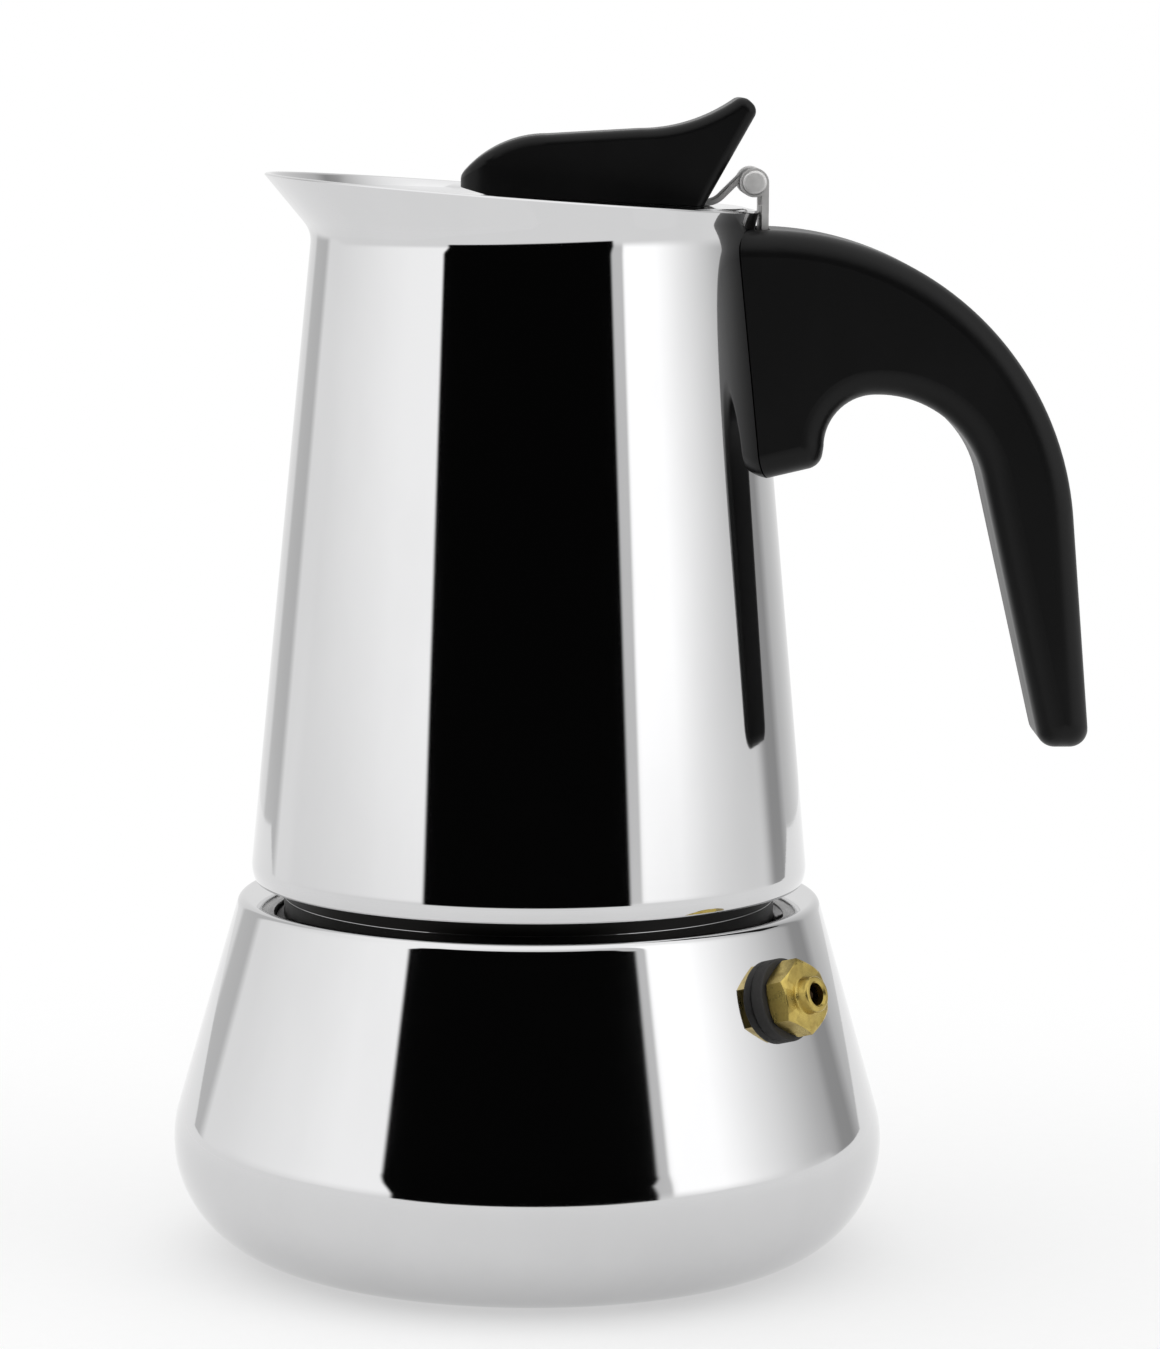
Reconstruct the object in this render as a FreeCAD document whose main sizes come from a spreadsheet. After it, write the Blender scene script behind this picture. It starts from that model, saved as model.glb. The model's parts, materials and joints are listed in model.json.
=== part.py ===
import FreeCAD, Part
import Sketcher
import math
import os
import re

# A stove-top moka pot: boiler below, coffee collector above, lid, handle and safety valve.
# The origin is on the pot's axis at the bottom of the boiler. Z is up, the handle is toward +X
# and the spout toward -X. Lengths are in millimetres and angles in degrees.

DIMENSIONS = {
    # boiler
    "base_reach": 52.5,
    "base_round": 17.0,
    "base_lean": 16.0,
    "base_floor": 1.2,
    "boiler_wall": 1.0,
    "shoulder_height": 53.2,
    "shoulder_round": 1.3,
    "neck_radius": 36.2,
    "neck_bore": 34.8,
    "neck_top": 63.0,
    # screw thread between boiler and collector
    "thread_pitch": 3.0,
    "thread_first": 55.4,
    "thread_rise": 6.6,
    "ring_thread_rise": 4.5,
    "ridge_depth": 1.1,
    "ridge_tip": 0.7,
    "ridge_foot": 1.8,
    "ridge_root": 0.2,
    "thread_gap": 0.4,
    # how far a cutting shape runs past the face it opens
    "cut_over": 1.0,
    # collector
    "seam_height": 55.7,
    "collector_foot": 41.15,
    "crease_height": 150.8,
    "crease_radius": 32.15,
    "collector_wall": 0.9,
    "foot_curl": 0.4,
    "crease_round": 3.0,
    "spout_reach": 39.0,
    "rim_back": 32.9,
    "rim_half_width": 34.0,
    "rim_height": 156.2,
    "rim_tilt": 4.1,
    "ring_bottom": 55.9,
    "ring_step": 64.1,
    "seat_radius": 35.6,
    "floor_height": 67.0,
    "floor_plate": 1.0,
    "weld_gap": 0.05,
    # chimney
    "chimney_flange": 9.0,
    "chimney_sheet": 0.8,
    "chimney_foot": 5.6,
    "chimney_tip": 4.6,
    "chimney_base": 71.0,
    "chimney_top": 122.0,
    "cap_skirt": 115.5,
    "cap_top": 130.4,
    "cap_wall": 0.9,
    "cap_round": 1.4,
    "cap_slot_width": 5.0,
    "cap_slot_low": 122.6,
    "cap_slot_tall": 5.0,
    # gasket and filter plate
    "gasket_low": 63.9,
    "gasket_thick": 3.0,
    "gasket_outer": 35.2,
    "gasket_inner": 27.5,
    "plate_radius": 29.0,
    "plate_low": 64.9,
    "plate_thick": 0.6,
    "plate_gap": 0.1,
    "plate_hole": 0.8,
    # coffee basket
    "basket_flange": 36.4,
    "basket_radius": 34.3,
    "basket_sheet": 0.6,
    "basket_rim": 0.8,
    "basket_floor": 42.0,
    "basket_corner": 2.5,
    "basket_dish": 1.6,
    "collar_low": 37.0,
    "stem_radius": 4.5,
    "stem_bore": 3.8,
    "stem_low": 5.0,
    "sieve_low": 45.6,
    "sieve_hole": 0.9,
    "fit_gap": 0.05,
    # safety valve, along its own axis from the wall outward
    "valve_height": 42.7,
    "valve_bearing": 38.7,
    "boss_radius": 6.6,
    "boss_face": 0.15,
    "boss_depth": 1.4,
    "valve_hole": 3.15,
    "washer_radius": 6.0,
    "washer_thick": 1.5,
    "hex_flats": 9.6,
    "hex_thick": 3.5,
    "hex_chamfer": 0.5,
    "outlet_radius": 2.6,
    "outlet_bore": 1.6,
    "outlet_face": 7.1,
    "shank_radius": 3.05,
    "shank_end": 7.5,
    "spring_chamber": 2.2,
    "chamber_end": 4.2,
    "nut_flats": 10.0,
    "nut_thick": 3.0,
    "seat_plug": 2.15,
    "seat_thick": 2.0,
    "seat_inlet": 1.1,
    "plunger_head": 1.95,
    "plunger_thick": 0.95,
    "plunger_stem": 0.8,
    "plunger_tip": 5.9,
    "spring_mean": 1.5,
    "spring_wire": 0.22,
    "spring_turns": 6.0,
    # lid and its hinge
    "lid_radius": 32.0,
    "lid_center": -0.6,
    "lid_height": 155.9,
    "lid_tilt": 2.5,
    "lid_sheet": 0.8,
    "lid_skirt": 2.0,
    "lid_edge_round": 0.6,
    "hinge_x": 31.9,
    "hinge_z": 158.3,
    "pin_radius": 1.2,
    "pin_half": 8.8,
    "pin_head": 1.8,
    "pin_head_thick": 0.7,
    "barrel_radius": 2.1,
    "bore_gap": 0.05,
    "leaf_half": 4.3,
    "leaf_foot": 13.0,
    "leaf_thick": 0.8,
    "leaf_bend_x": 26.7,
    "leaf_headroom": 0.9,
    "strap_out": 2.9,
    "strap_in": 1.7,
    "strap_lean": 45.0,
    "bracket_half": 8.0,
    "bracket_slot": 4.6,
    "bracket_thick": 1.0,
    "bracket_low": 136.0,
    "bracket_slot_low": 154.8,
    # knob
    "knob_half": 9.72,
    "knob_tail_half": 7.2,
    "knob_prow": -10.4,
    "knob_prow_height": 159.1,
    "knob_nose_low": 157.4,
    "knob_shoulder_x": 2.0,
    "knob_shoulder_z": 165.0,
    "knob_saddle_x": 15.5,
    "knob_saddle_z": 165.85,
    "knob_tip_x": 30.2,
    "knob_tip_z": 170.9,
    "knob_rear_x": 32.5,
    "knob_rear_z": 168.8,
    "knob_foot_x": 24.7,
    "knob_keel_x": -6.0,
    "knob_tail_sweep": 24.0,
    "knob_prow_sweep": 16.0,
    "knob_nose_round": 4.3,
    "knob_tip_round": 1.6,
    "knob_edge": 1.5,
    "knob_gap": 0.05,
    "knob_screw_x": 5.0,
    "screw_shank": 1.95,
    "screw_head": 3.6,
    "screw_head_tall": 2.0,
    "screw_bevel": 0.6,
    "knob_screw_reach": 6.5,
    # handle
    "handle_axis_x": 33.5,
    "handle_axis_z": 106.0,
    "handle_sweep": 45.6,
    "handle_lean": 5.0,
    "grip_end": 76.4,
    "grip_end_round": 2.6,
    "grip_axis_x": 50.2,
    "grip_axis_z": 112.1,
    "grip_sweep": 15.8,
    "grip_lean": 13.0,
    "throat_radius": 7.4,
    "throat_x": 49.7,
    "lug_reach": 41.9,
    "lug_low": 117.6,
    "lug_rise": 13.0,
    "root_inner": 28.0,
    "root_half": 13.2,
    "tip_half": 8.6,
    "handle_edge": 3.8,
    "shell_gap": 0.1,
    "pocket_gap": 0.3,
    # handle bracket and its screw
    "tab_half": 6.5,
    "tab_low": 121.0,
    "tab_high": 134.0,
    "tab_reach": 36.2,
    "tongue_half": 5.0,
    "tongue_reach": 44.0,
    "tongue_low": 128.6,
    "tongue_thick": 2.2,
    "handle_screw_x": 38.6,
    "handle_screw_seat": 119.4,
    "handle_screw_top": 132.2,
    "handle_screw_shank": 1.45,
    "handle_screw_head": 2.5,
    "handle_screw_tall": 1.8,
}

SIEVE_RINGS = [(6.5, 8), (12.0, 14), (17.5, 20), (23.0, 26), (28.5, 32)]
FILTER_RINGS = [(5.0, 7), (10.0, 13), (15.0, 19), (20.0, 25), (25.0, 31)]

doc = FreeCAD.newDocument("moka_pot")
sheet = doc.addObject("Spreadsheet::Sheet", "Dims")
for row, (alias, value) in enumerate(DIMENSIONS.items(), start=1):
    sheet.set(f"A{row}", alias)
    sheet.set(f"B{row}", str(value))
    sheet.setAlias(f"B{row}", alias)
doc.recompute()

NODES = []

# How close an edge has to be to the place that names it, in millimetres.
NEAR = 0.02
# The least part of a flank's normal that lies along Y.
SIDEWAYS = 0.9
# The least volume that a cut has to take, in cubic millimetres.
SLIVER = 1e-3


def cells(expression):
    """The expression with each dimension's name turned into its cell in the sheet."""
    def to_cell(match):
        word = match.group()
        return f"Dims.{word}" if word in DIMENSIONS else word
    return re.sub(r"[a-z][a-z_]*", to_cell, str(expression))


def size(expression):
    """The value of an expression in dimension names."""
    value = sheet.evalExpression(cells(expression))
    return float(getattr(value, "Value", value))


def bind(thing, **properties):
    """Bind each property to an expression in dimension names. A double underscore stands for a dot."""
    for name, expression in properties.items():
        thing.setExpression(name.replace("__", "."), cells(expression))


def node(thing, label):
    """Register a finished solid under the name of its sub-part."""
    thing.Label = label
    NODES.append(thing)
    return thing


def settle(feature):
    """Recompute, and stop at a feature that has no good shape."""
    doc.recompute()
    if "Invalid" in feature.State or feature.Shape.isNull():
        raise ValueError(f"{feature.Name} failed: {feature.State}")
    return feature


def new_body(name):
    return doc.addObject("PartDesign::Body", name)


def new_sketch(body, role="XZ_Plane", lift="0"):
    """A sketch on one of the body's own planes, moved along the plane's normal."""
    sketch = body.newObject("Sketcher::SketchObject", f"{body.Name}_sketch")
    plane = next(item for item in body.Origin.OriginFeatures if item.Role == role)
    sketch.AttachmentSupport = [(plane, "")]
    sketch.MapMode = "FlatFace"
    if lift != "0":
        bind(sketch, AttachmentOffset__Base__z=lift)
    return sketch


def arc_between(start, end, radius, turn):
    """The short arc from start to end that turns left (1) or right (-1)."""
    chord = end - start
    rise = math.sqrt(radius ** 2 - (chord.Length / 2) ** 2)
    side = FreeCAD.Vector(-chord.y, chord.x, 0).normalize() * rise * turn
    center = start + chord * 0.5 + side
    first, last = (start, end) if turn > 0 else (end, start)
    angles = [math.atan2(point.y - center.y, point.x - center.x) for point in (first, last)]
    circle = Part.Circle(center, FreeCAD.Vector(0, 0, 1), radius)
    return Part.ArcOfCircle(circle, angles[0], angles[1])


def draw(sketch, corners):
    """A closed outline through corners given as expressions.

    A corner is (x, y), or (x, y, radius, turn) where the line that leaves it is an arc.
    """
    points = [FreeCAD.Vector(size(corner[0]), size(corner[1]), 0) for corner in corners]
    first = sketch.GeometryCount
    begins, ends = [], []
    for index, corner in enumerate(corners):
        start, end = points[index], points[(index + 1) % len(points)]
        turn = corner[3] if len(corner) > 2 else 0
        if turn:
            sketch.addGeometry(arc_between(start, end, size(corner[2]), turn))
        else:
            sketch.addGeometry(Part.LineSegment(start, end))
        begins.append(2 if turn < 0 else 1)
        ends.append(1 if turn < 0 else 2)
    rules, sizes = [], {}
    for index, corner in enumerate(corners):
        after = (index + 1) % len(corners)
        line = first + index
        rules.append(Sketcher.Constraint("Coincident", line, ends[index], first + after, begins[after]))
        for axis, kind, base in ((0, "DistanceX", -2), (1, "DistanceY", -1)):
            if corner[axis] == "0":
                rules.append(Sketcher.Constraint("PointOnObject", line, begins[index], base))
                continue
            sizes[len(rules)] = corner[axis]
            place = points[index][axis]
            rules.append(Sketcher.Constraint(kind, -1, 1, line, begins[index], place))
        if len(corner) > 2:
            sizes[len(rules)] = corner[2]
            rules.append(Sketcher.Constraint("Radius", line, size(corner[2])))
    numbers = sketch.addConstraint(rules)
    for position, expression in sizes.items():
        sketch.setExpression(f"Constraints[{numbers[position]}]", cells(expression))


def draw_circle(sketch, x, y, radius):
    """A circle whose center and radius are expressions."""
    center = FreeCAD.Vector(size(x), size(y), 0)
    index = sketch.addGeometry(Part.Circle(center, FreeCAD.Vector(0, 0, 1), size(radius)))
    rules = [Sketcher.Constraint("Radius", index, size(radius))]
    sizes = [radius]
    for expression, kind, line in ((x, "DistanceX", -2), (y, "DistanceY", -1)):
        if expression == "0":
            sketch.addConstraint(Sketcher.Constraint("PointOnObject", index, 3, line))
            continue
        rules.append(Sketcher.Constraint(kind, -1, 1, index, 3, size(expression)))
        sizes.append(expression)
    for number, expression in zip(sketch.addConstraint(rules), sizes):
        sketch.setExpression(f"Constraints[{number}]", cells(expression))


def revolve(body, corners):
    """A full turn of an outline in radius and height about the body's Z axis."""
    sketch = new_sketch(body)
    draw(sketch, corners)
    feature = body.newObject("PartDesign::Revolution", f"{body.Name}_turn")
    feature.Profile = sketch
    feature.ReferenceAxis = (sketch, ["V_Axis"])
    feature.Angle = 360
    return settle(feature)


def pad(body, sketch, length, midplane=False):
    feature = body.newObject("PartDesign::Pad", f"{body.Name}_pad")
    feature.Profile = sketch
    feature.Midplane = midplane
    bind(feature, Length=length)
    return settle(feature)


def pocket(body, sketch):
    """Cut the sketch right through the body, both ways."""
    before = body.Shape.Volume
    feature = body.newObject("PartDesign::Pocket", f"{body.Name}_pocket")
    feature.Profile = sketch
    feature.Midplane = True
    feature.Type = "ThroughAll"
    settle(feature)
    if feature.Shape.Volume > before - SLIVER:
        raise ValueError(f"{feature.Name} cuts nothing")
    return feature


def round_edges(body, edges, radius):
    """Fillet the named edges of the body's last feature."""
    if not edges:
        raise ValueError(f"no edge to round on {body.Name}")
    base = body.Tip
    feature = body.newObject("PartDesign::Fillet", f"{body.Name}_fillet")
    feature.Base = (base, edges)
    bind(feature, Radius=radius)
    return settle(feature)


def rings_at(shape, radius, height):
    """Names of the circular edges about Z with this radius at this height."""
    found = []
    for number, edge in enumerate(shape.Edges, start=1):
        curve = edge.Curve
        if not isinstance(curve, Part.Circle):
            continue
        if abs(curve.Radius - size(radius)) < NEAR and abs(curve.Center.z - size(height)) < NEAR:
            found.append(f"Edge{number}")
    return found


def cross_edges(shape, x, z):
    """Names of the straight edges along Y that stand at this place in the side view."""
    found = []
    for number, edge in enumerate(shape.Edges, start=1):
        reach = edge.BoundBox
        flat = reach.XLength < NEAR and reach.ZLength < NEAR
        if flat and abs(reach.XMin - size(x)) < NEAR and abs(reach.ZMin - size(z)) < NEAR:
            found.append(f"Edge{number}")
    return found


def flank_edges(shape, inner):
    """Names of the edges round the flat flanks that face the Y axis, beyond an inner end."""
    found = set()
    for face in shape.Faces:
        if not isinstance(face.Surface, Part.Plane) or abs(face.normalAt(0, 0).y) < SIDEWAYS:
            continue
        for edge in face.Edges:
            if edge.BoundBox.XMax < size(inner) + NEAR:
                continue
            found.add(next(n for n, other in enumerate(shape.Edges, start=1) if other.isSame(edge)))
    return [f"Edge{number}" for number in sorted(found)]


def rim_edges(shape, low):
    """Names of the edges that run along either flank, above a low face."""
    found = []
    for number, edge in enumerate(shape.Edges, start=1):
        reach = edge.BoundBox
        across = reach.YMin < -NEAR and reach.YMax > NEAR
        upright = reach.XLength < NEAR and reach.YLength < NEAR
        if not across and not upright and reach.ZMax > size(low):
            found.append(f"Edge{number}")
    return found


def ridge(body, root, tip, height, rise):
    """A helical thread ridge between two radii, its middle starting at a height on +X."""
    sketch = new_sketch(body)
    draw(sketch, [
        (root, f"{height} - ridge_foot / 2"),
        (tip, f"{height} - ridge_tip / 2"),
        (tip, f"{height} + ridge_tip / 2"),
        (root, f"{height} + ridge_foot / 2"),
    ])
    doc.recompute()
    feature = body.newObject("PartDesign::AdditiveHelix", f"{body.Name}_thread")
    feature.Profile = sketch
    feature.ReferenceAxis = (sketch, ["V_Axis"])
    feature.Mode = 0
    bind(feature, Pitch="thread_pitch", Height=rise)
    return settle(feature)


def perforate(body, hole, rings):
    """Rings of round holes through a disc about Z, and one hole in the middle."""
    middle = new_sketch(body, "XY_Plane")
    draw_circle(middle, "0", "0", hole)
    doc.recompute()
    pocket(body, middle)
    for reach, count in rings:
        sketch = new_sketch(body, "XY_Plane")
        draw_circle(sketch, str(reach), "0", hole)
        doc.recompute()
        cut = pocket(body, sketch)
        pattern = body.newObject("PartDesign::PolarPattern", f"{body.Name}_pattern")
        pattern.Originals = [cut]
        pattern.Axis = (sketch, ["N_Axis"])
        pattern.Angle = 360
        pattern.Occurrences = count
        body.Tip = pattern
        settle(pattern)


def cylinder(name, radius, length):
    thing = doc.addObject("Part::Cylinder", name)
    bind(thing, Radius=radius, Height=length)
    return thing


def box(name, corner, lengths):
    """A block from its low corner and its lengths, all expressions."""
    thing = doc.addObject("Part::Box", name)
    bind(thing, Length=lengths[0], Width=lengths[1], Height=lengths[2])
    bind(thing, Placement__Base__x=corner[0], Placement__Base__y=corner[1], Placement__Base__z=corner[2])
    return thing


def cut(name, base, tools):
    """The base with the tools taken away, one after another."""
    for number, tool in enumerate(tools, start=1):
        before = base.Shape.Volume
        thing = doc.addObject("Part::Cut", f"{name}_cut{number}")
        thing.Base = base
        thing.Tool = tool
        settle(thing)
        if thing.Shape.Volume > before - SLIVER:
            raise ValueError(f"{tool.Name} cuts nothing from {name}")
        base = thing
    return base


def fuse(name, pieces):
    thing = doc.addObject("Part::MultiFuse", name)
    thing.Shapes = pieces
    return settle(thing)


# Boiler

BASE_FOOT = "(base_reach - base_round + base_round * tan(base_lean) + base_round / cos(base_lean))"


def boiler_cone(height):
    """Outer radius of the boiler's cone at a height."""
    return f"({BASE_FOOT} - ({height}) * tan(base_lean))"


def boiler_lining(height):
    """Inner radius of the boiler's cone at a height."""
    return f"({boiler_cone(height)} - boiler_wall / cos(base_lean))"


VALVE_TURN = FreeCAD.Rotation(FreeCAD.Vector(0, 0, 1), -size("valve_bearing"))
VALVE_TIP = FreeCAD.Rotation(FreeCAD.Vector(0, 1, 0), 90 - size("base_lean"))
VALVE_REACH = size(boiler_cone("valve_height"))
VALVE_FOOT = VALVE_TURN.multVec(FreeCAD.Vector(VALVE_REACH, 0, size("valve_height")))
VALVE_PLACE = FreeCAD.Placement(VALVE_FOOT, VALVE_TURN.multiply(VALVE_TIP))


def along_valve(thing, shift="0"):
    """Stand a piece made along Z on the valve's axis, moved outward from the wall."""
    offset = FreeCAD.Placement(FreeCAD.Vector(0, 0, size(shift)), FreeCAD.Rotation())
    thing.Placement = VALVE_PLACE.multiply(offset)
    return thing


def make_boiler():
    inner_top = "(shoulder_height - boiler_wall)"
    body = new_body("boiler_body")
    revolve(body, [
        ("0", "0"),
        (BASE_FOOT, "0"),
        (boiler_cone("shoulder_height"), "shoulder_height"),
        ("neck_radius", "shoulder_height"),
        ("neck_radius", "neck_top"),
        ("neck_bore", "neck_top"),
        ("neck_bore", inner_top),
        (boiler_lining(inner_top), inner_top),
        (boiler_lining("base_floor"), "base_floor"),
        ("0", "base_floor"),
    ])
    outer = rings_at(body.Shape, BASE_FOOT, "0")
    round_edges(body, outer, "base_round")
    inner = rings_at(body.Shape, boiler_lining("base_floor"), "base_floor")
    round_edges(body, inner, "base_round - boiler_wall")
    shoulder = rings_at(body.Shape, boiler_cone("shoulder_height"), "shoulder_height")
    round_edges(body, shoulder, "shoulder_round")
    ridge(body, "neck_radius - ridge_root", "neck_radius + ridge_depth", "thread_first", "thread_rise")
    boss = along_valve(cylinder("valve_boss", "boss_radius", "boss_face + boss_depth"), "-boss_depth")
    bore_length = "2 * (boss_face + boss_depth)"
    hole = along_valve(cylinder("valve_bore", "valve_hole", bore_length), "-2 * boss_depth + boss_face")
    node(cut("boiler", fuse("boiler_with_boss", [body, boss]), [hole]), "boiler")


# Safety valve

def hexagon(flats):
    """Corners of a hexagon with this width across its flats."""
    reach = f"({flats}) / 2 / cos(30)"
    corners = []
    for turn in range(0, 360, 60):
        across = "0" if turn % 180 == 0 else f"{reach} * sin({turn})"
        corners.append((f"{reach} * cos({turn})", across))
    return corners


def make_valve():
    washer_top = "(boss_face + washer_thick)"
    hex_top = "(boss_face + washer_thick + hex_thick)"
    washer = new_body("washer_body")
    revolve(washer, [
        ("valve_hole", "boss_face"),
        ("washer_radius", "boss_face"),
        ("washer_radius", washer_top),
        ("valve_hole", washer_top),
    ])
    node(along_valve(washer), "valve_washer")

    body = new_body("valve_housing")
    flats = new_sketch(body, "XY_Plane", washer_top)
    draw(flats, hexagon("hex_flats"))
    pad(body, flats, "hex_thick")
    revolve(body, [
        ("outlet_bore", "chamber_end"),
        ("spring_chamber", "chamber_end"),
        ("spring_chamber", "-shank_end"),
        ("shank_radius", "-shank_end"),
        ("shank_radius", f"{washer_top} + hex_chamfer"),
        ("outlet_radius", f"{washer_top} + hex_chamfer"),
        ("outlet_radius", "outlet_face - hex_chamfer"),
        ("outlet_radius - hex_chamfer", "outlet_face"),
        ("outlet_bore", "outlet_face"),
    ])
    bore = cylinder("valve_outlet", "outlet_bore", "outlet_face + cut_over")
    chamber = cylinder("valve_chamber", "spring_chamber", "chamber_end + shank_end")
    bind(chamber, Placement__Base__z="-shank_end")
    node(along_valve(cut("valve_body", body, [bore, chamber])), "valve_body")

    nut_top = "(-boss_depth - fit_gap)"
    nut = new_body("nut_body")
    sketch = new_sketch(nut, "XY_Plane", f"{nut_top} - nut_thick")
    draw(sketch, hexagon("nut_flats"))
    draw_circle(sketch, "0", "0", "shank_radius + fit_gap")
    pad(nut, sketch, "nut_thick")
    node(along_valve(nut), "valve_nut")

    plug = new_body("seat_body")
    revolve(plug, [
        ("seat_inlet", "-shank_end"),
        ("seat_plug", "-shank_end"),
        ("seat_plug", "-shank_end + seat_thick"),
        ("seat_inlet", "-shank_end + seat_thick"),
    ])
    node(along_valve(plug), "valve_seat")

    head_low = "(-shank_end + seat_thick + fit_gap)"
    plunger = new_body("plunger_body")
    revolve(plunger, [
        ("0", head_low),
        ("plunger_head", head_low),
        ("plunger_head", f"{head_low} + plunger_thick"),
        ("plunger_stem", f"{head_low} + plunger_thick"),
        ("plunger_stem", "plunger_tip - plunger_stem / 2"),
        ("plunger_stem / 2", "plunger_tip"),
        ("0", "plunger_tip"),
    ])
    node(along_valve(plunger), "valve_plunger")

    spring_low = f"({head_low} + plunger_thick + spring_wire + fit_gap)"
    spring_length = size(f"chamber_end - spring_wire - fit_gap - {spring_low}")
    path = Part.makeHelix(spring_length / size("spring_turns"), spring_length, size("spring_mean"))
    start = FreeCAD.Vector(size("spring_mean"), 0, 0)
    section = Part.Wire(Part.makeCircle(size("spring_wire"), start, FreeCAD.Vector(0, 1, 0)))
    coil = Part.Wire(path).makePipeShell([section], True, True)
    spring = doc.addObject("Part::Feature", "spring_coil")
    spring.Shape = coil
    node(along_valve(spring, spring_low), "valve_spring")


# Coffee basket

def make_basket():
    cup = new_body("cup_body")
    lining = "(basket_radius - basket_sheet)"
    collar = "(stem_radius + fit_gap)"
    dish = "(basket_floor - basket_dish)"
    revolve(cup, [
        ("basket_flange", "neck_top"),
        ("basket_flange", "neck_top + basket_rim"),
        (lining, "neck_top + basket_rim"),
        (lining, "basket_floor + basket_corner"),
        (f"{lining} - basket_corner", "basket_floor + basket_sheet"),
        (collar, f"{dish} + basket_sheet"),
        (collar, "collar_low"),
        (f"{collar} + basket_sheet", "collar_low"),
        (f"{collar} + basket_sheet", dish),
        (f"{lining} - basket_corner", "basket_floor"),
        ("basket_radius", "basket_floor + basket_corner"),
        ("basket_radius", "neck_top"),
    ])
    node(cup, "basket_cup")

    stem = new_body("stem_body")
    revolve(stem, [
        ("stem_bore", "stem_low"),
        ("stem_radius", "stem_low"),
        ("stem_radius", f"{dish} + basket_sheet"),
        ("stem_bore", f"{dish} + basket_sheet"),
    ])
    node(stem, "basket_stem")

    sieve = new_body("sieve_body")
    revolve(sieve, [
        ("0", "sieve_low"),
        (f"{lining} - fit_gap", "sieve_low"),
        (f"{lining} - fit_gap", "sieve_low + basket_sheet"),
        ("0", "sieve_low + basket_sheet"),
    ])
    perforate(sieve, "sieve_hole", SIEVE_RINGS)
    node(sieve, "basket_sieve")


# Gasket and filter plate

def make_seal():
    groove_low = "(plate_low - plate_gap)"
    groove_high = "(plate_low + plate_thick + plate_gap)"
    gasket = new_body("gasket_body")
    revolve(gasket, [
        ("gasket_inner", "gasket_low"),
        ("gasket_outer", "gasket_low"),
        ("gasket_outer", "gasket_low + gasket_thick"),
        ("gasket_inner", "gasket_low + gasket_thick"),
        ("gasket_inner", groove_high),
        ("plate_radius + plate_gap", groove_high),
        ("plate_radius + plate_gap", groove_low),
        ("gasket_inner", groove_low),
    ])
    node(gasket, "gasket")

    plate = new_body("plate_body")
    revolve(plate, [
        ("0", "plate_low"),
        ("plate_radius", "plate_low"),
        ("plate_radius", "plate_low + plate_thick"),
        ("0", "plate_low + plate_thick"),
    ])
    perforate(plate, "plate_hole", FILTER_RINGS)
    node(plate, "filter_plate")


# Collector

TAPER = "((collector_foot - crease_radius) / (crease_height - seam_height))"
RIM_MIDDLE = "((rim_back - spout_reach) / 2)"
RIM_REACH = "((rim_back + spout_reach) / 2)"


def shell_radius(height):
    """Outer radius of the collector's wall at a height."""
    return f"(collector_foot - (({height}) - seam_height) * {TAPER})"


def shell_envelope(name, gap):
    """The collector's outer cone, swollen by a gap, for cutting what sits against it."""
    cone = doc.addObject("Part::Cone", name)
    bind(cone, Radius1=f"collector_foot + {gap}", Radius2=f"crease_radius + {gap}")
    bind(cone, Height="crease_height - seam_height", Placement__Base__z="seam_height")
    return cone


def lip_envelope(name, gap):
    """A cone round the lip above its crease, swollen by a gap, for cutting what stands behind it."""
    cone = doc.addObject("Part::Cone", name)
    bind(cone, Radius1=f"crease_radius + {gap}", Radius2=f"rim_back + {gap}")
    bind(cone, Height="rim_height - rim_back * tan(rim_tilt) - crease_height")
    bind(cone, Placement__Base__z="crease_height")
    return cone


def mouth(name, inset):
    """A solid of the collector's outside, or of its inside when inset: a cone below the oblique lip."""
    wall = doc.addObject("Part::Cone", f"{name}_cone")
    bind(wall, Radius1=f"collector_foot - {inset}", Radius2=f"crease_radius - {inset}")
    bind(wall, Height="crease_height - seam_height", Placement__Base__z="seam_height")
    crease = doc.addObject("Part::Circle", f"{name}_crease")
    bind(crease, Radius=f"crease_radius - {inset}", Placement__Base__z="crease_height")
    rim = doc.addObject("Part::Ellipse", f"{name}_rim")
    bind(rim, MajorRadius=f"{RIM_REACH} / cos(rim_tilt) - {inset}", MinorRadius=f"rim_half_width - {inset}")
    middle_height = f"rim_height - {RIM_MIDDLE} * tan(rim_tilt)"
    bind(rim, Placement__Base__x=RIM_MIDDLE, Placement__Base__z=middle_height)
    rim.Placement.Rotation = FreeCAD.Rotation(FreeCAD.Vector(0, 1, 0), size("rim_tilt"))
    lip = doc.addObject("Part::Loft", f"{name}_lip")
    lip.Sections = [crease, rim]
    lip.Solid = True
    lip.Ruled = True
    doc.recompute()
    return fuse(name, [wall, lip])


def crease_edges(shape):
    """Numbers of the edges that run round the lip's crease."""
    found = []
    for number, edge in enumerate(shape.Edges, start=1):
        reach = edge.BoundBox
        level = reach.ZLength < NEAR and abs(reach.ZMin - size("crease_height")) < NEAR
        if level and reach.XLength > size("crease_radius"):
            found.append(number)
    return found


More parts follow.
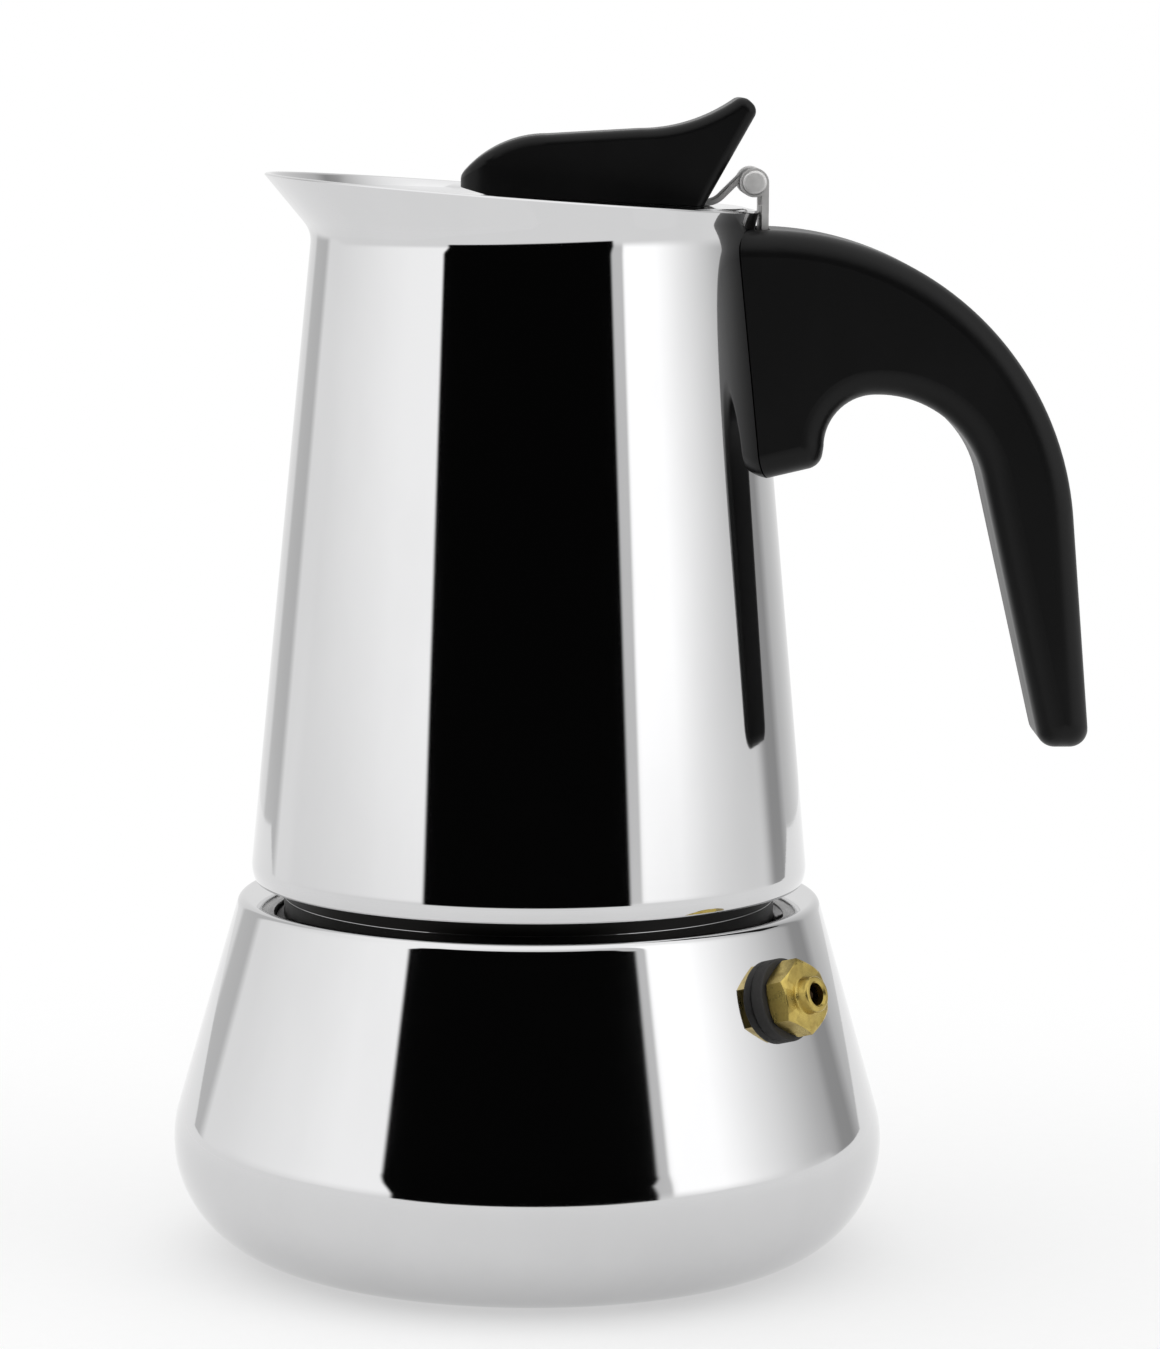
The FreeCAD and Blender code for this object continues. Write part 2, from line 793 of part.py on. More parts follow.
def make_collector():
    outside = mouth("collector_outside", "0")
    inside = mouth("collector_inside", "collector_wall")
    shell = cut("collector_wall_only", outside, [inside])
    softened = doc.addObject("Part::Fillet", "collector_softened")
    softened.Base = shell
    bends = [(number, "crease_round") for number in crease_edges(shell.Shape)]
    foot = rings_at(shell.Shape, "collector_foot", "seam_height")
    bends += [(int(name.removeprefix("Edge")), "foot_curl") for name in foot]
    softened.Edges = [(number, size(bend), size(bend)) for number, bend in bends]
    doc.recompute()
    node(softened, "collector_shell")

    inner = "(collector_wall + weld_gap)"
    floor = new_body("floor_body")
    floor_top = "(floor_height + floor_plate)"
    edge = f"({shell_radius(floor_top)} - {inner})"
    revolve(floor, [
        ("chimney_foot - chimney_sheet", "floor_height"),
        (edge, "floor_height"),
        (edge, floor_top),
        ("chimney_foot - chimney_sheet", floor_top),
    ])
    node(floor, "collector_floor")

    ring = new_body("ring_body")
    ring_top = "(floor_height - weld_gap)"
    root = "(neck_radius + ridge_depth + thread_gap)"
    revolve(ring, [
        (root, "ring_bottom"),
        (f"{shell_radius('ring_bottom')} - {inner}", "ring_bottom"),
        (f"{shell_radius(ring_top)} - {inner}", ring_top),
        ("seat_radius", ring_top),
        ("seat_radius", "ring_step"),
        (root, "ring_step"),
    ])
    tip = f"({root} - ridge_depth)"
    first = "(thread_first + thread_pitch / 2)"
    ridge(ring, f"({root} + ridge_root)", tip, first, "ring_thread_rise")
    node(ring, "thread_ring")


# Chimney

def make_chimney():
    low = "(floor_height + floor_plate + fit_gap)"
    chimney = new_body("chimney_body")
    revolve(chimney, [
        ("chimney_foot - chimney_sheet", low),
        ("chimney_flange", low),
        ("chimney_flange", f"{low} + chimney_sheet"),
        ("chimney_foot + chimney_sheet", f"{low} + chimney_sheet"),
        ("chimney_foot", "chimney_base"),
        ("chimney_tip", "chimney_top"),
        ("chimney_tip - chimney_sheet", "chimney_top"),
        ("chimney_foot - chimney_sheet", "chimney_base"),
    ])
    node(chimney, "chimney")

    cap = new_body("cap_body")
    taper = "((chimney_foot - chimney_tip) / (chimney_top - chimney_base))"
    skirt = f"(chimney_tip + (chimney_top - cap_skirt) * {taper} + fit_gap)"
    revolve(cap, [
        ("0", "cap_top - cap_wall"),
        (skirt, "cap_top - cap_wall"),
        (skirt, "cap_skirt"),
        (f"{skirt} + cap_wall", "cap_skirt"),
        (f"{skirt} + cap_wall", "cap_top"),
        ("0", "cap_top"),
    ])
    round_edges(cap, rings_at(cap.Shape, f"{skirt} + cap_wall", "cap_top"), "cap_round")
    slot = box("cap_slot", (f"-2 * {skirt}", "-cap_slot_width / 2", "cap_slot_low"),
               (f"4 * {skirt}", "cap_slot_width", "cap_slot_tall"))
    node(cut("chimney_cap", cap, [slot]), "chimney_cap")


# Lid and hinge

LID_TURN = FreeCAD.Rotation(FreeCAD.Vector(0, 1, 0), size("lid_tilt"))


def lid_top(x):
    """Height of the lid's top face at a place on the X axis."""
    return f"(lid_height - ({x}) * tan(lid_tilt))"


def on_lid(thing, x):
    """Stand a piece made about Z on the lid's top face."""
    thing.Placement = FreeCAD.Placement(FreeCAD.Vector(size(x), 0, size(lid_top(x))), LID_TURN)
    return thing


def make_lid():
    disc = new_body("lid_body")
    revolve(disc, [
        ("0", "-lid_sheet"),
        ("lid_radius - lid_sheet", "-lid_sheet"),
        ("lid_radius - lid_sheet", "-lid_skirt"),
        ("lid_radius", "-lid_skirt"),
        ("lid_radius", "0"),
        ("0", "0"),
    ])
    round_edges(disc, rings_at(disc.Shape, "lid_radius", "0"), "lid_edge_round")
    on_lid(disc, "lid_center")
    hole = on_lid(cylinder("lid_hole", "screw_shank + pocket_gap", "4 * lid_sheet"), "knob_screw_x")
    hole.Placement = hole.Placement.multiply(
        FreeCAD.Placement(FreeCAD.Vector(0, 0, -2 * size("lid_sheet")), FreeCAD.Rotation()))
    node(cut("lid", disc, [hole]), "lid")


def strap_point(reach, height):
    """X of the strap's face at a distance from the hinge axis, at a height."""
    return (f"(hinge_x - ({reach}) * sin(strap_lean)"
            f" - (hinge_z + ({reach}) * cos(strap_lean) - ({height})) / tan(strap_lean))")


def make_hinge():
    leaf = new_body("leaf_body")
    foot_low = f"({lid_top('leaf_foot')} + fit_gap)"
    out_x = "(hinge_x - strap_out * sin(strap_lean))"
    out_z = "(hinge_z + strap_out * cos(strap_lean))"
    in_x = "(hinge_x - strap_in * sin(strap_lean))"
    in_z = "(hinge_z + strap_in * cos(strap_lean))"
    bend_low = f"({lid_top('leaf_bend_x')} + fit_gap)"
    strap = new_sketch(leaf)
    draw(strap, [
        ("leaf_foot", foot_low),
        (strap_point("strap_in", bend_low), bend_low),
        (in_x, in_z),
        ("hinge_x", "hinge_z + pin_radius + bore_gap"),
        ("hinge_x", "hinge_z + barrel_radius"),
        (out_x, out_z),
        (strap_point("strap_out", f"{bend_low} + leaf_thick"), f"{bend_low} + leaf_thick"),
        ("leaf_foot", f"{foot_low} + leaf_thick"),
    ])
    pad(leaf, strap, "2 * leaf_half", True)
    barrel = new_sketch(leaf)
    draw_circle(barrel, "hinge_x", "hinge_z", "barrel_radius")
    pad(leaf, barrel, "2 * leaf_half", True)
    bore = new_sketch(leaf)
    draw_circle(bore, "hinge_x", "hinge_z", "pin_radius + bore_gap")
    pocket(leaf, bore)
    node(leaf, "lid_hinge_leaf")

    bracket = new_body("bracket_body")
    strip = new_sketch(bracket)
    strip_out = "(hinge_x + barrel_radius)"
    draw(strip, [
        (f"{strip_out} - bracket_thick", "bracket_low"),
        (strip_out, "bracket_low"),
        (strip_out, "hinge_z"),
        (f"{strip_out} - bracket_thick", "hinge_z"),
    ])
    pad(bracket, strip, "2 * bracket_half", True)
    knuckle = new_sketch(bracket)
    draw_circle(knuckle, "hinge_x", "hinge_z", "barrel_radius")
    pad(bracket, knuckle, "2 * bracket_half", True)
    hole = new_sketch(bracket)
    draw_circle(hole, "hinge_x", "hinge_z", "pin_radius + bore_gap / 2")
    pocket(bracket, hole)
    slot = box("bracket_gap", ("hinge_x - 2 * barrel_radius", "-bracket_slot", "bracket_slot_low"),
               ("4 * barrel_radius", "2 * bracket_slot", "4 * barrel_radius"))
    node(cut("hinge_bracket", bracket, [slot, shell_envelope("bracket_seat", "weld_gap")]), "hinge_bracket")

    pin = cylinder("pin_shaft", "pin_radius", "2 * pin_half")
    heads = [cylinder(f"pin_end{number}", "pin_head", "pin_head_thick") for number in (1, 2)]
    lay = FreeCAD.Rotation(FreeCAD.Vector(1, 0, 0), -90)
    starts = ("-pin_half", "-pin_half", "pin_half - pin_head_thick")
    for piece, start in zip([pin] + heads, starts):
        piece.Placement = FreeCAD.Placement(
            FreeCAD.Vector(size("hinge_x"), size(start), size("hinge_z")), lay)
    node(fuse("hinge_pin", [pin] + heads), "hinge_pin")


# Knob

def make_knob():
    body = new_body("knob_body")
    keel = f"({lid_top('knob_keel_x')} + knob_gap)"
    foot = f"({lid_top('knob_foot_x')} + knob_gap)"
    profile = new_sketch(body)
    draw(profile, [
        ("knob_keel_x", keel),
        ("knob_foot_x", foot),
        ("knob_rear_x", "knob_rear_z"),
        ("knob_tip_x", "knob_tip_z", "knob_tail_sweep", -1),
        ("knob_saddle_x", "knob_saddle_z"),
        ("knob_shoulder_x", "knob_shoulder_z", "knob_prow_sweep", 1),
        ("knob_prow", "knob_prow_height"),
        ("knob_prow", "knob_nose_low"),
    ])
    pad(body, profile, "3 * knob_half", True)
    plan = new_sketch(body, "XY_Plane")
    for side, turn in (("", -1), ("-", 1)):
        draw(plan, [
            ("knob_prow - cut_over", f"{side}(knob_half - knob_nose_round)"),
            ("knob_prow", f"{side}(knob_half - knob_nose_round)", "knob_nose_round", turn),
            ("knob_prow + knob_nose_round", f"{side}knob_half"),
            ("knob_rear_x + cut_over", f"{side}knob_tail_half"),
            ("knob_rear_x + cut_over", f"{side}2 * knob_half"),
            ("knob_prow - cut_over", f"{side}2 * knob_half"),
        ])
    pocket(body, plan)
    tip = cross_edges(body.Shape, "knob_tip_x", "knob_tip_z")
    rear = cross_edges(body.Shape, "knob_rear_x", "knob_rear_z")
    round_edges(body, tip + rear, "knob_tip_round")
    round_edges(body, rim_edges(body.Shape, "knob_nose_low + fit_gap"), "knob_edge")
    leaf_space = box(
        "leaf_space",
        ("leaf_foot - pocket_gap", "-leaf_half - pocket_gap", f"{foot} - cut_over"),
        ("leaf_bend_x - leaf_foot + cut_over", "2 * leaf_half + 2 * pocket_gap",
         "leaf_thick + leaf_headroom + cut_over"))
    thread = cylinder("knob_thread", "screw_shank + fit_gap", "knob_screw_reach + cut_over")
    node(cut("lid_knob", body, [leaf_space, on_lid(thread, "knob_screw_x")]), "lid_knob")

    screw = new_body("knob_screw_body")
    under = "(-lid_sheet - fit_gap)"
    revolve(screw, [
        ("0", f"{under} - screw_head_tall"),
        ("screw_head - screw_bevel", f"{under} - screw_head_tall"),
        ("screw_head", f"{under} - screw_head_tall / 2"),
        ("screw_head", under),
        ("screw_shank", under),
        ("screw_shank", "knob_screw_reach"),
        ("0", "knob_screw_reach"),
    ])
    node(on_lid(screw, "knob_screw_x"), "knob_screw")


# Handle

def screw_way(name, radius, low, high):
    """A round upright hole on the handle screw's axis between two heights."""
    way = cylinder(name, radius, f"{high} - {low} + pocket_gap")
    bind(way, Placement__Base__x="handle_screw_x", Placement__Base__z=low)
    return way


def make_handle():
    body = new_body("handle_body")
    side = new_sketch(body)
    sweep_end_x = "(handle_axis_x + handle_sweep * cos(handle_lean))"
    sweep_end_z = "(handle_axis_z + handle_sweep * sin(handle_lean))"
    grip_top_x = "(grip_axis_x + grip_sweep * cos(grip_lean))"
    grip_top_z = "(grip_axis_z + grip_sweep * sin(grip_lean))"
    grip_foot_x = f"({grip_top_x} + ({grip_top_z} - grip_end) * tan(grip_lean))"
    sweep_foot_x = f"({sweep_end_x} + ({sweep_end_z} - grip_end) * tan(handle_lean))"
    throat_z = "(grip_axis_z + grip_sweep - throat_radius)"
    throat_side = "(throat_x - throat_radius)"
    sweep_top = "(handle_axis_z + handle_sweep)"
    lug_root = "lug_low - (lug_reach - root_inner) * tan(lug_rise)"
    draw(side, [
        ("root_inner", sweep_top),
        ("root_inner", lug_root),
        ("lug_reach", "lug_low"),
        (throat_side, throat_z, "throat_radius", -1),
        ("throat_x", "grip_axis_z + grip_sweep"),
        ("grip_axis_x", "grip_axis_z + grip_sweep", "grip_sweep", -1),
        (grip_top_x, grip_top_z),
        (grip_foot_x, "grip_end"),
        (sweep_foot_x, "grip_end"),
        (sweep_end_x, sweep_end_z, "handle_sweep", 1),
        ("handle_axis_x", sweep_top),
    ])
    pad(body, side, "2 * root_half", True)
    plan = new_sketch(body, "XY_Plane")
    far = f"({sweep_end_x} + root_half)"
    for turn in ("", "-"):
        draw(plan, [
            ("root_inner", f"{turn}root_half"),
            (far, f"{turn}tip_half"),
            (far, f"{turn}2 * root_half"),
            ("root_inner", f"{turn}2 * root_half"),
        ])
    pocket(body, plan)
    ends = cross_edges(body.Shape, grip_foot_x, "grip_end")
    ends += cross_edges(body.Shape, sweep_foot_x, "grip_end")
    lug = cross_edges(body.Shape, "lug_reach", "lug_low")
    round_edges(body, ends + lug, "grip_end_round")
    round_edges(body, flank_edges(body.Shape, "root_inner"), "handle_edge")
    strip_space = box(
        "strip_space",
        ("root_inner", "-bracket_half - pocket_gap", "bracket_low - pocket_gap"),
        ("hinge_x + barrel_radius + pocket_gap - root_inner",
         "2 * bracket_half + 2 * pocket_gap", "hinge_z"))
    tab_space = box(
        "tab_space",
        ("root_inner", "-tab_half - pocket_gap", "tab_low - pocket_gap"),
        ("tab_reach + pocket_gap - root_inner", "2 * tab_half + 2 * pocket_gap",
         "tab_high - tab_low + 2 * pocket_gap"))
    tongue_space = box(
        "tongue_space",
        ("root_inner", "-tongue_half - pocket_gap", "tongue_low - pocket_gap"),
        ("tongue_reach + pocket_gap - root_inner", "2 * tongue_half + 2 * pocket_gap",
         "tongue_thick + 2 * pocket_gap"))
    shank_way = "handle_screw_shank + pocket_gap / 2"
    shank_space = screw_way("shank_space", shank_way, "lug_low", "handle_screw_top")
    head_way = "handle_screw_head + pocket_gap"
    head_space = screw_way("head_space", head_way, "grip_end", "handle_screw_seat")
    spaces = [strip_space, tab_space, tongue_space, shank_space, head_space]
    seats = [shell_envelope("handle_seat", "shell_gap"), lip_envelope("handle_lip_seat", "shell_gap")]
    node(cut("handle", body, spaces + seats), "handle")


def make_handle_bracket():
    tab = box("tab_block", ("root_inner", "-tab_half", "tab_low"),
              ("tab_reach - root_inner", "2 * tab_half", "tab_high - tab_low"))
    tongue = box("tongue_block", ("root_inner", "-tongue_half", "tongue_low"),
                 ("tongue_reach - root_inner", "2 * tongue_half", "tongue_thick"))
    tapping = screw_way("tapping", "handle_screw_shank + fit_gap", "tab_low", "handle_screw_top")
    seat = shell_envelope("tab_seat", "weld_gap")
    node(cut("handle_bracket", fuse("bracket_blank", [tab, tongue]), [tapping, seat]), "handle_bracket")

    screw = new_body("handle_screw_body")
    head_low = "(handle_screw_seat - handle_screw_tall)"
    revolve(screw, [
        ("0", head_low),
        ("handle_screw_head", head_low),
        ("handle_screw_head", "handle_screw_seat"),
        ("handle_screw_shank", "handle_screw_seat"),
        ("handle_screw_shank", "handle_screw_top"),
        ("0", "handle_screw_top"),
    ])
    bind(screw, Placement__Base__x="handle_screw_x")
    node(screw, "handle_screw")


make_boiler()
make_valve()
make_basket()
make_seal()
make_collector()
make_chimney()
make_lid()
make_hinge()
make_knob()
make_handle()
make_handle_bracket()

doc.recompute()
for thing in doc.Objects:
    if "Invalid" in thing.State or "Error" in thing.State:
        raise ValueError(f"{thing.Name} has an error")
os.makedirs("parts", exist_ok=True)
for thing in NODES:
    shape = thing.Shape
    if shape.isNull() or not shape.isValid():
        raise ValueError(f"{thing.Label} has no valid shape")
    shape.exportStep(f"parts/{thing.Label}.step")
    print(thing.Label, len(shape.Solids), round(shape.Volume, 1))
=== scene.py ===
import json
import math

import bmesh
import bpy
from bpy.props import FloatProperty, FloatVectorProperty, IntProperty, PointerProperty
from mathutils import Matrix, Vector


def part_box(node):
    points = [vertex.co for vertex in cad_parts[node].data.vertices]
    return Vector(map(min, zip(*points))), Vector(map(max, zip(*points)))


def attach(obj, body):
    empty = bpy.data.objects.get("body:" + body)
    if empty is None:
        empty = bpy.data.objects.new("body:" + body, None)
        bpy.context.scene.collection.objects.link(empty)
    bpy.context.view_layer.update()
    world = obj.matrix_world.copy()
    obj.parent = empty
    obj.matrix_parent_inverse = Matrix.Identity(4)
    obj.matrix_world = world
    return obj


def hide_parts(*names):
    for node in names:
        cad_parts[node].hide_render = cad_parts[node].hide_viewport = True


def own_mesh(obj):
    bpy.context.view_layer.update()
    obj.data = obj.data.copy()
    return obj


bl_info = {
    "name": "Moka pot",
    "version": (1, 0, 0),
    "blender": (4, 5, 0),
    "location": "View3D > Sidebar > Moka pot",
    "description": "A stove-top moka pot in polished steel, black plastic and brass",
    "category": "Add Mesh",
}

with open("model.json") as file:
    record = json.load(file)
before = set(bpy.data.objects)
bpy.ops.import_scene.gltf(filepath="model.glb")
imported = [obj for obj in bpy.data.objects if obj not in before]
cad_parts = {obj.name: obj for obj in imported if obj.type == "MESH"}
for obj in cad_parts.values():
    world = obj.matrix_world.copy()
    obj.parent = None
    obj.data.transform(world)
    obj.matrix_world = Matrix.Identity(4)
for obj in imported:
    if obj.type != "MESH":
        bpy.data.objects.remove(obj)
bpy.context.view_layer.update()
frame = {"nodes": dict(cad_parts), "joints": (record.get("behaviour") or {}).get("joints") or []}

BOILER_LOW, BOILER_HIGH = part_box("boiler")
LID_HINGE = next(joint for joint in frame["joints"] if joint["name"] == "lid_hinge")


# Sizes and colours a user would change

def length(name, default, description):
    return FloatProperty(name=name, description=description, default=default, min=0.0, precision=5,
                         subtype="DISTANCE", unit="LENGTH")


def angle(name, degrees, description):
    return FloatProperty(name=name, description=description, default=math.radians(degrees),
                         subtype="ANGLE", unit="ROTATION")


def colour(name, default, description):
    return FloatVectorProperty(name=name, description=description, default=default, size=3,
                               min=0.0, max=1.0, subtype="COLOR")


class BoilerSizes(bpy.types.PropertyGroup):
    reach: length("Reach", BOILER_HIGH.y, "Largest radius, at the rounded foot")
    foot_round: length("Foot round", 0.017, "Radius of the rounded foot")
    lean: angle("Lean", 16.0, "Lean of the cone wall from upright")
    floor: length("Floor", 0.0012, "Thickness of the floor")
    wall: length("Wall", 0.001, "Thickness of the wall")
    shoulder: length("Shoulder", 0.0532, "Height of the flat shoulder")
    shoulder_round: length("Shoulder round", 0.0013, "Radius of the shoulder's edge")
    neck: length("Neck", 0.0362, "Outer radius of the neck")
    bore: length("Bore", 0.0348, "Inner radius of the neck")
    top: length("Top", BOILER_HIGH.z, "Height of the neck's top")
    thread_pitch: length("Thread pitch", 0.003, "Rise of the thread in one turn")
    thread_low: length("Thread low", 0.0554, "Height where the thread starts")
    thread_rise: length("Thread rise", 0.0066, "Rise of the whole thread")
    thread_depth: length("Thread depth", 0.0011, "Depth of the thread")
    thread_sink: length("Thread sink", 0.0002, "How far the thread's root is sunk in the neck")
    thread_foot: length("Thread foot", 0.0009, "Half of the thread's width at its root")
    thread_tip: length("Thread tip", 0.00035, "Half of the thread's width at its tip")
    lip: length("Lip", 0.00035, "Radius of both edges of the neck's top")
    recess: length("Recess", 0.0006, "Depth of the recess under the floor")
    recess_margin: length("Recess margin", 0.004, "Width of the flat ring that the pot stands on")
    recess_slope: length("Recess slope", 0.0012, "Width of the recess's sloping edge")


class CollectorSizes(bpy.types.PropertyGroup):
    foot: length("Foot", 0.04115, "Outer radius at the foot")
    low: length("Low", 0.0557, "Height of the foot")
    curl: length("Curl", 0.0052, "Radius of the foot's inward curl")
    curl_turn: angle("Curl turn", 25.0, "How far the foot curls in past upright")
    crease: length("Crease", 0.03215, "Outer radius at the crease under the lip")
    crease_height: length("Crease height", 0.1508, "Height of the crease")
    crease_round: length("Crease round", 0.0018, "Length of the bend on either side of the crease")
    wall: length("Wall", 0.0009, "Thickness of the wall")
    spout: length("Spout", 0.039, "Reach of the spout from the axis")
    back: length("Back", 0.0329, "Reach of the lip beside the handle")
    half_width: length("Half width", 0.034, "Half of the lip's width")
    rim_height: length("Rim height", 0.1562, "Height of the lip's plane on the axis")
    rim_tilt: angle("Rim tilt", 4.1, "Slope of the lip's plane, up toward the spout")


class LidSizes(bpy.types.PropertyGroup):
    radius: length("Radius", 0.032, "Radius of the lid")
    offset: length("Offset", 0.0006, "Distance of the lid's middle from the axis, toward the spout")
    height: length("Height", 0.1559, "Height of the lid's top on the axis")
    tilt: angle("Tilt", 2.5, "Slope of the lid, up toward the spout")
    sheet: length("Sheet", 0.0008, "Thickness of the lid's sheet")
    skirt: length("Skirt", 0.002, "Depth of the lid's turned-down edge")
    edge: length("Edge", 0.0006, "Radius of the lid's top edge")


class HingeSizes(bpy.types.PropertyGroup):
    axis: FloatVectorProperty(name="Axis", description="A point on the hinge's axis", size=3, precision=5,
                              default=LID_HINGE["pos_m"], subtype="TRANSLATION", unit="LENGTH")
    pin: length("Pin", 0.0012, "Radius of the pin")
    pin_half: length("Pin half", 0.0088, "Half of the pin's length")
    pin_head: length("Pin head", 0.0018, "Radius of the pin's heads")
    barrel: length("Barrel", 0.0021, "Outer radius of the knuckles")
    leaf_half: length("Leaf half", 0.0043, "Half of the lid strap's width")
    strap_lean: angle("Strap lean", 45.0, "Slope of the strap that rises to the knuckle")
    strap_foot: length("Strap foot", 0.013, "Where the strap starts on the lid")
    sheet: length("Sheet", 0.0008, "Thickness of the hinge's sheet")
    strap_bend: length("Strap bend", 0.0014, "Length of the strap's bend on either side of its corner")
    strap_gap: length("Strap gap", 0.00005, "Gap between the strap and the lid")
    strap_edge: length("Strap edge", 0.00014, "Width of the strap's broken edges")
    head_thick: length("Head thick", 0.0007, "Thickness of the pin's heads")


class ValveSizes(bpy.types.PropertyGroup):
    height: length("Height", 0.0427, "Height where the valve's axis meets the wall")
    bearing: angle("Bearing", 38.7, "Turn from the handle toward the front")
    boss: length("Boss", 0.0056, "Radius of the flat boss on the wall")
    boss_face: length("Boss face", 0.00015, "Height of the boss over the wall")
    boss_sink: length("Boss sink", 0.001, "How far the boss is sunk in the wall")
    washer: length("Washer", 0.006, "Outer radius of the washer")
    washer_bore: length("Washer bore", 0.00315, "Inner radius of the washer")
    washer_thick: length("Washer thick", 0.0015, "Thickness of the washer")
    washer_sink: length("Washer sink", 0.0005, "How far the washer's rim is pressed round the wall")
    washer_edge: length("Washer edge", 0.0003, "Radius of the washer's edges")
    flats: length("Flats", 0.0096, "Width across the hexagon's flats")
    hexagon: length("Hexagon", 0.0035, "Thickness of the hexagon")
    chamfer: length("Chamfer", 0.0001, "Depth of the hexagon's chamfer at the middle of a side")
    outlet: length("Outlet", 0.0026, "Radius of the outlet")
    outlet_bore: length("Outlet bore", 0.0016, "Radius of the hole in the outlet")
    outlet_face: length("Outlet face", 0.0071, "Distance of the outlet's face from the wall")
    outlet_lip: length("Outlet lip", 0.0004, "Radius of the outlet's edge and foot")
    shank: length("Shank", 0.00305, "Radius of the shank through the wall")
    shank_end: length("Shank end", 0.0075, "Reach of the shank inside the wall")
    chamber: length("Chamber", 0.0022, "Radius of the spring's chamber")
    chamber_end: length("Chamber end", 0.0042, "Outer end of the spring's chamber")
    coil: length("Coil", 0.0015, "Mean radius of the spring")
    coil_wire: length("Coil wire", 0.00022, "Radius of the spring's wire")
    coil_inner: length("Coil inner", 0.00423, "Depth of the spring's inner end in the wall")
    coil_outer: length("Coil outer", 0.00393, "Distance of the spring's outer end from the wall")
    coil_turns: IntProperty(name="Coil turns", description="Turns of the spring", default=6, min=1)
    travel: length("Travel", 0.0012, "How far the plunger squeezes the spring")


class PotColours(bpy.types.PropertyGroup):
    steel: colour("Polished steel", (0.64, 0.64, 0.645), "Mirror-polished outside")
    satin: colour("Plain steel", (0.56, 0.555, 0.55), "Brushed inside and small steel pieces")
    # Near-black colour of the ring on the boiler's neck: painted shade that darkens the seam under the
    # collector's foot.
    seam_shade: colour("Dull steel", (0.016, 0.0155, 0.015), "Unpolished ring under the collector's foot")
    plastic: colour("Black plastic", (0.0014, 0.0014, 0.0015), "Handle and knob")
    brass: colour("Brass", (0.58, 0.45, 0.13), "Safety valve")
    tarnish: colour("Tarnish", (0.3, 0.21, 0.055), "Darker brass in the turned marks")
    oxide: colour("Oxide", (0.035, 0.022, 0.012), "Brass and spring inside the valve's outlet")
    rubber: colour("Rubber", (0.025, 0.024, 0.023), "Valve washer")
    silicone: colour("Silicone", (0.78, 0.75, 0.68), "Gasket between boiler and collector")


class StageSizes(bpy.types.PropertyGroup):
    camera_back: length("Camera back", 0.70546, "Distance of the camera in front of the axis")
    camera_height: length("Camera height", 0.17539, "Height of the camera")
    camera_dip: FloatProperty(name="Camera dip", description="Slope of the view below level",
                              default=0.1263, subtype="ANGLE", unit="ROTATION")
    camera_roll: FloatProperty(name="Camera roll", description="Turn of the camera about its view",
                               default=0.0059, subtype="ANGLE", unit="ROTATION")
    lens: FloatProperty(name="Lens", description="Focal length in millimetres", default=128.8, min=1.0)
    shift: FloatProperty(name="Shift", description="Sideways shift of the picture, in picture heights",
                         default=0.03717)
    floor_half: length("Floor half", 0.5, "Half of the floor's width, and how far it runs behind the pot")
    floor_front: length("Floor front", 0.24, "How far the floor runs in front of the pot")
    floor: colour("Floor", (0.5, 0.5, 0.5), "White floor under the pot")
    floor_lift: FloatProperty(name="Floor lift", description="Light added so the open floor shows white",
                              default=0.46, min=0.0, max=1.0)
    around: IntProperty(name="Steps around", description="Faces around a turned piece", default=256, min=24)


# Shader writing

class Wire:
    """A socket in a node tree. Arithmetic with it adds Math nodes."""

    def __init__(self, paint, socket):
        self.paint = paint
        self.socket = socket

    def _math(self, operation, *values):
        return self.paint.add("ShaderNodeMath", {"operation": operation}, dict(enumerate(values)))["Value"]

    def __add__(self, other):
        return self._math("ADD", self, other)

    def __radd__(self, other):
        return self._math("ADD", other, self)

    def __sub__(self, other):
        return self._math("SUBTRACT", self, other)

    def __rsub__(self, other):
        return self._math("SUBTRACT", other, self)

    def __mul__(self, other):
        return self._math("MULTIPLY", self, other)

    def __rmul__(self, other):
        return self._math("MULTIPLY", other, self)

    def __truediv__(self, other):
        return self._math("DIVIDE", self, other)


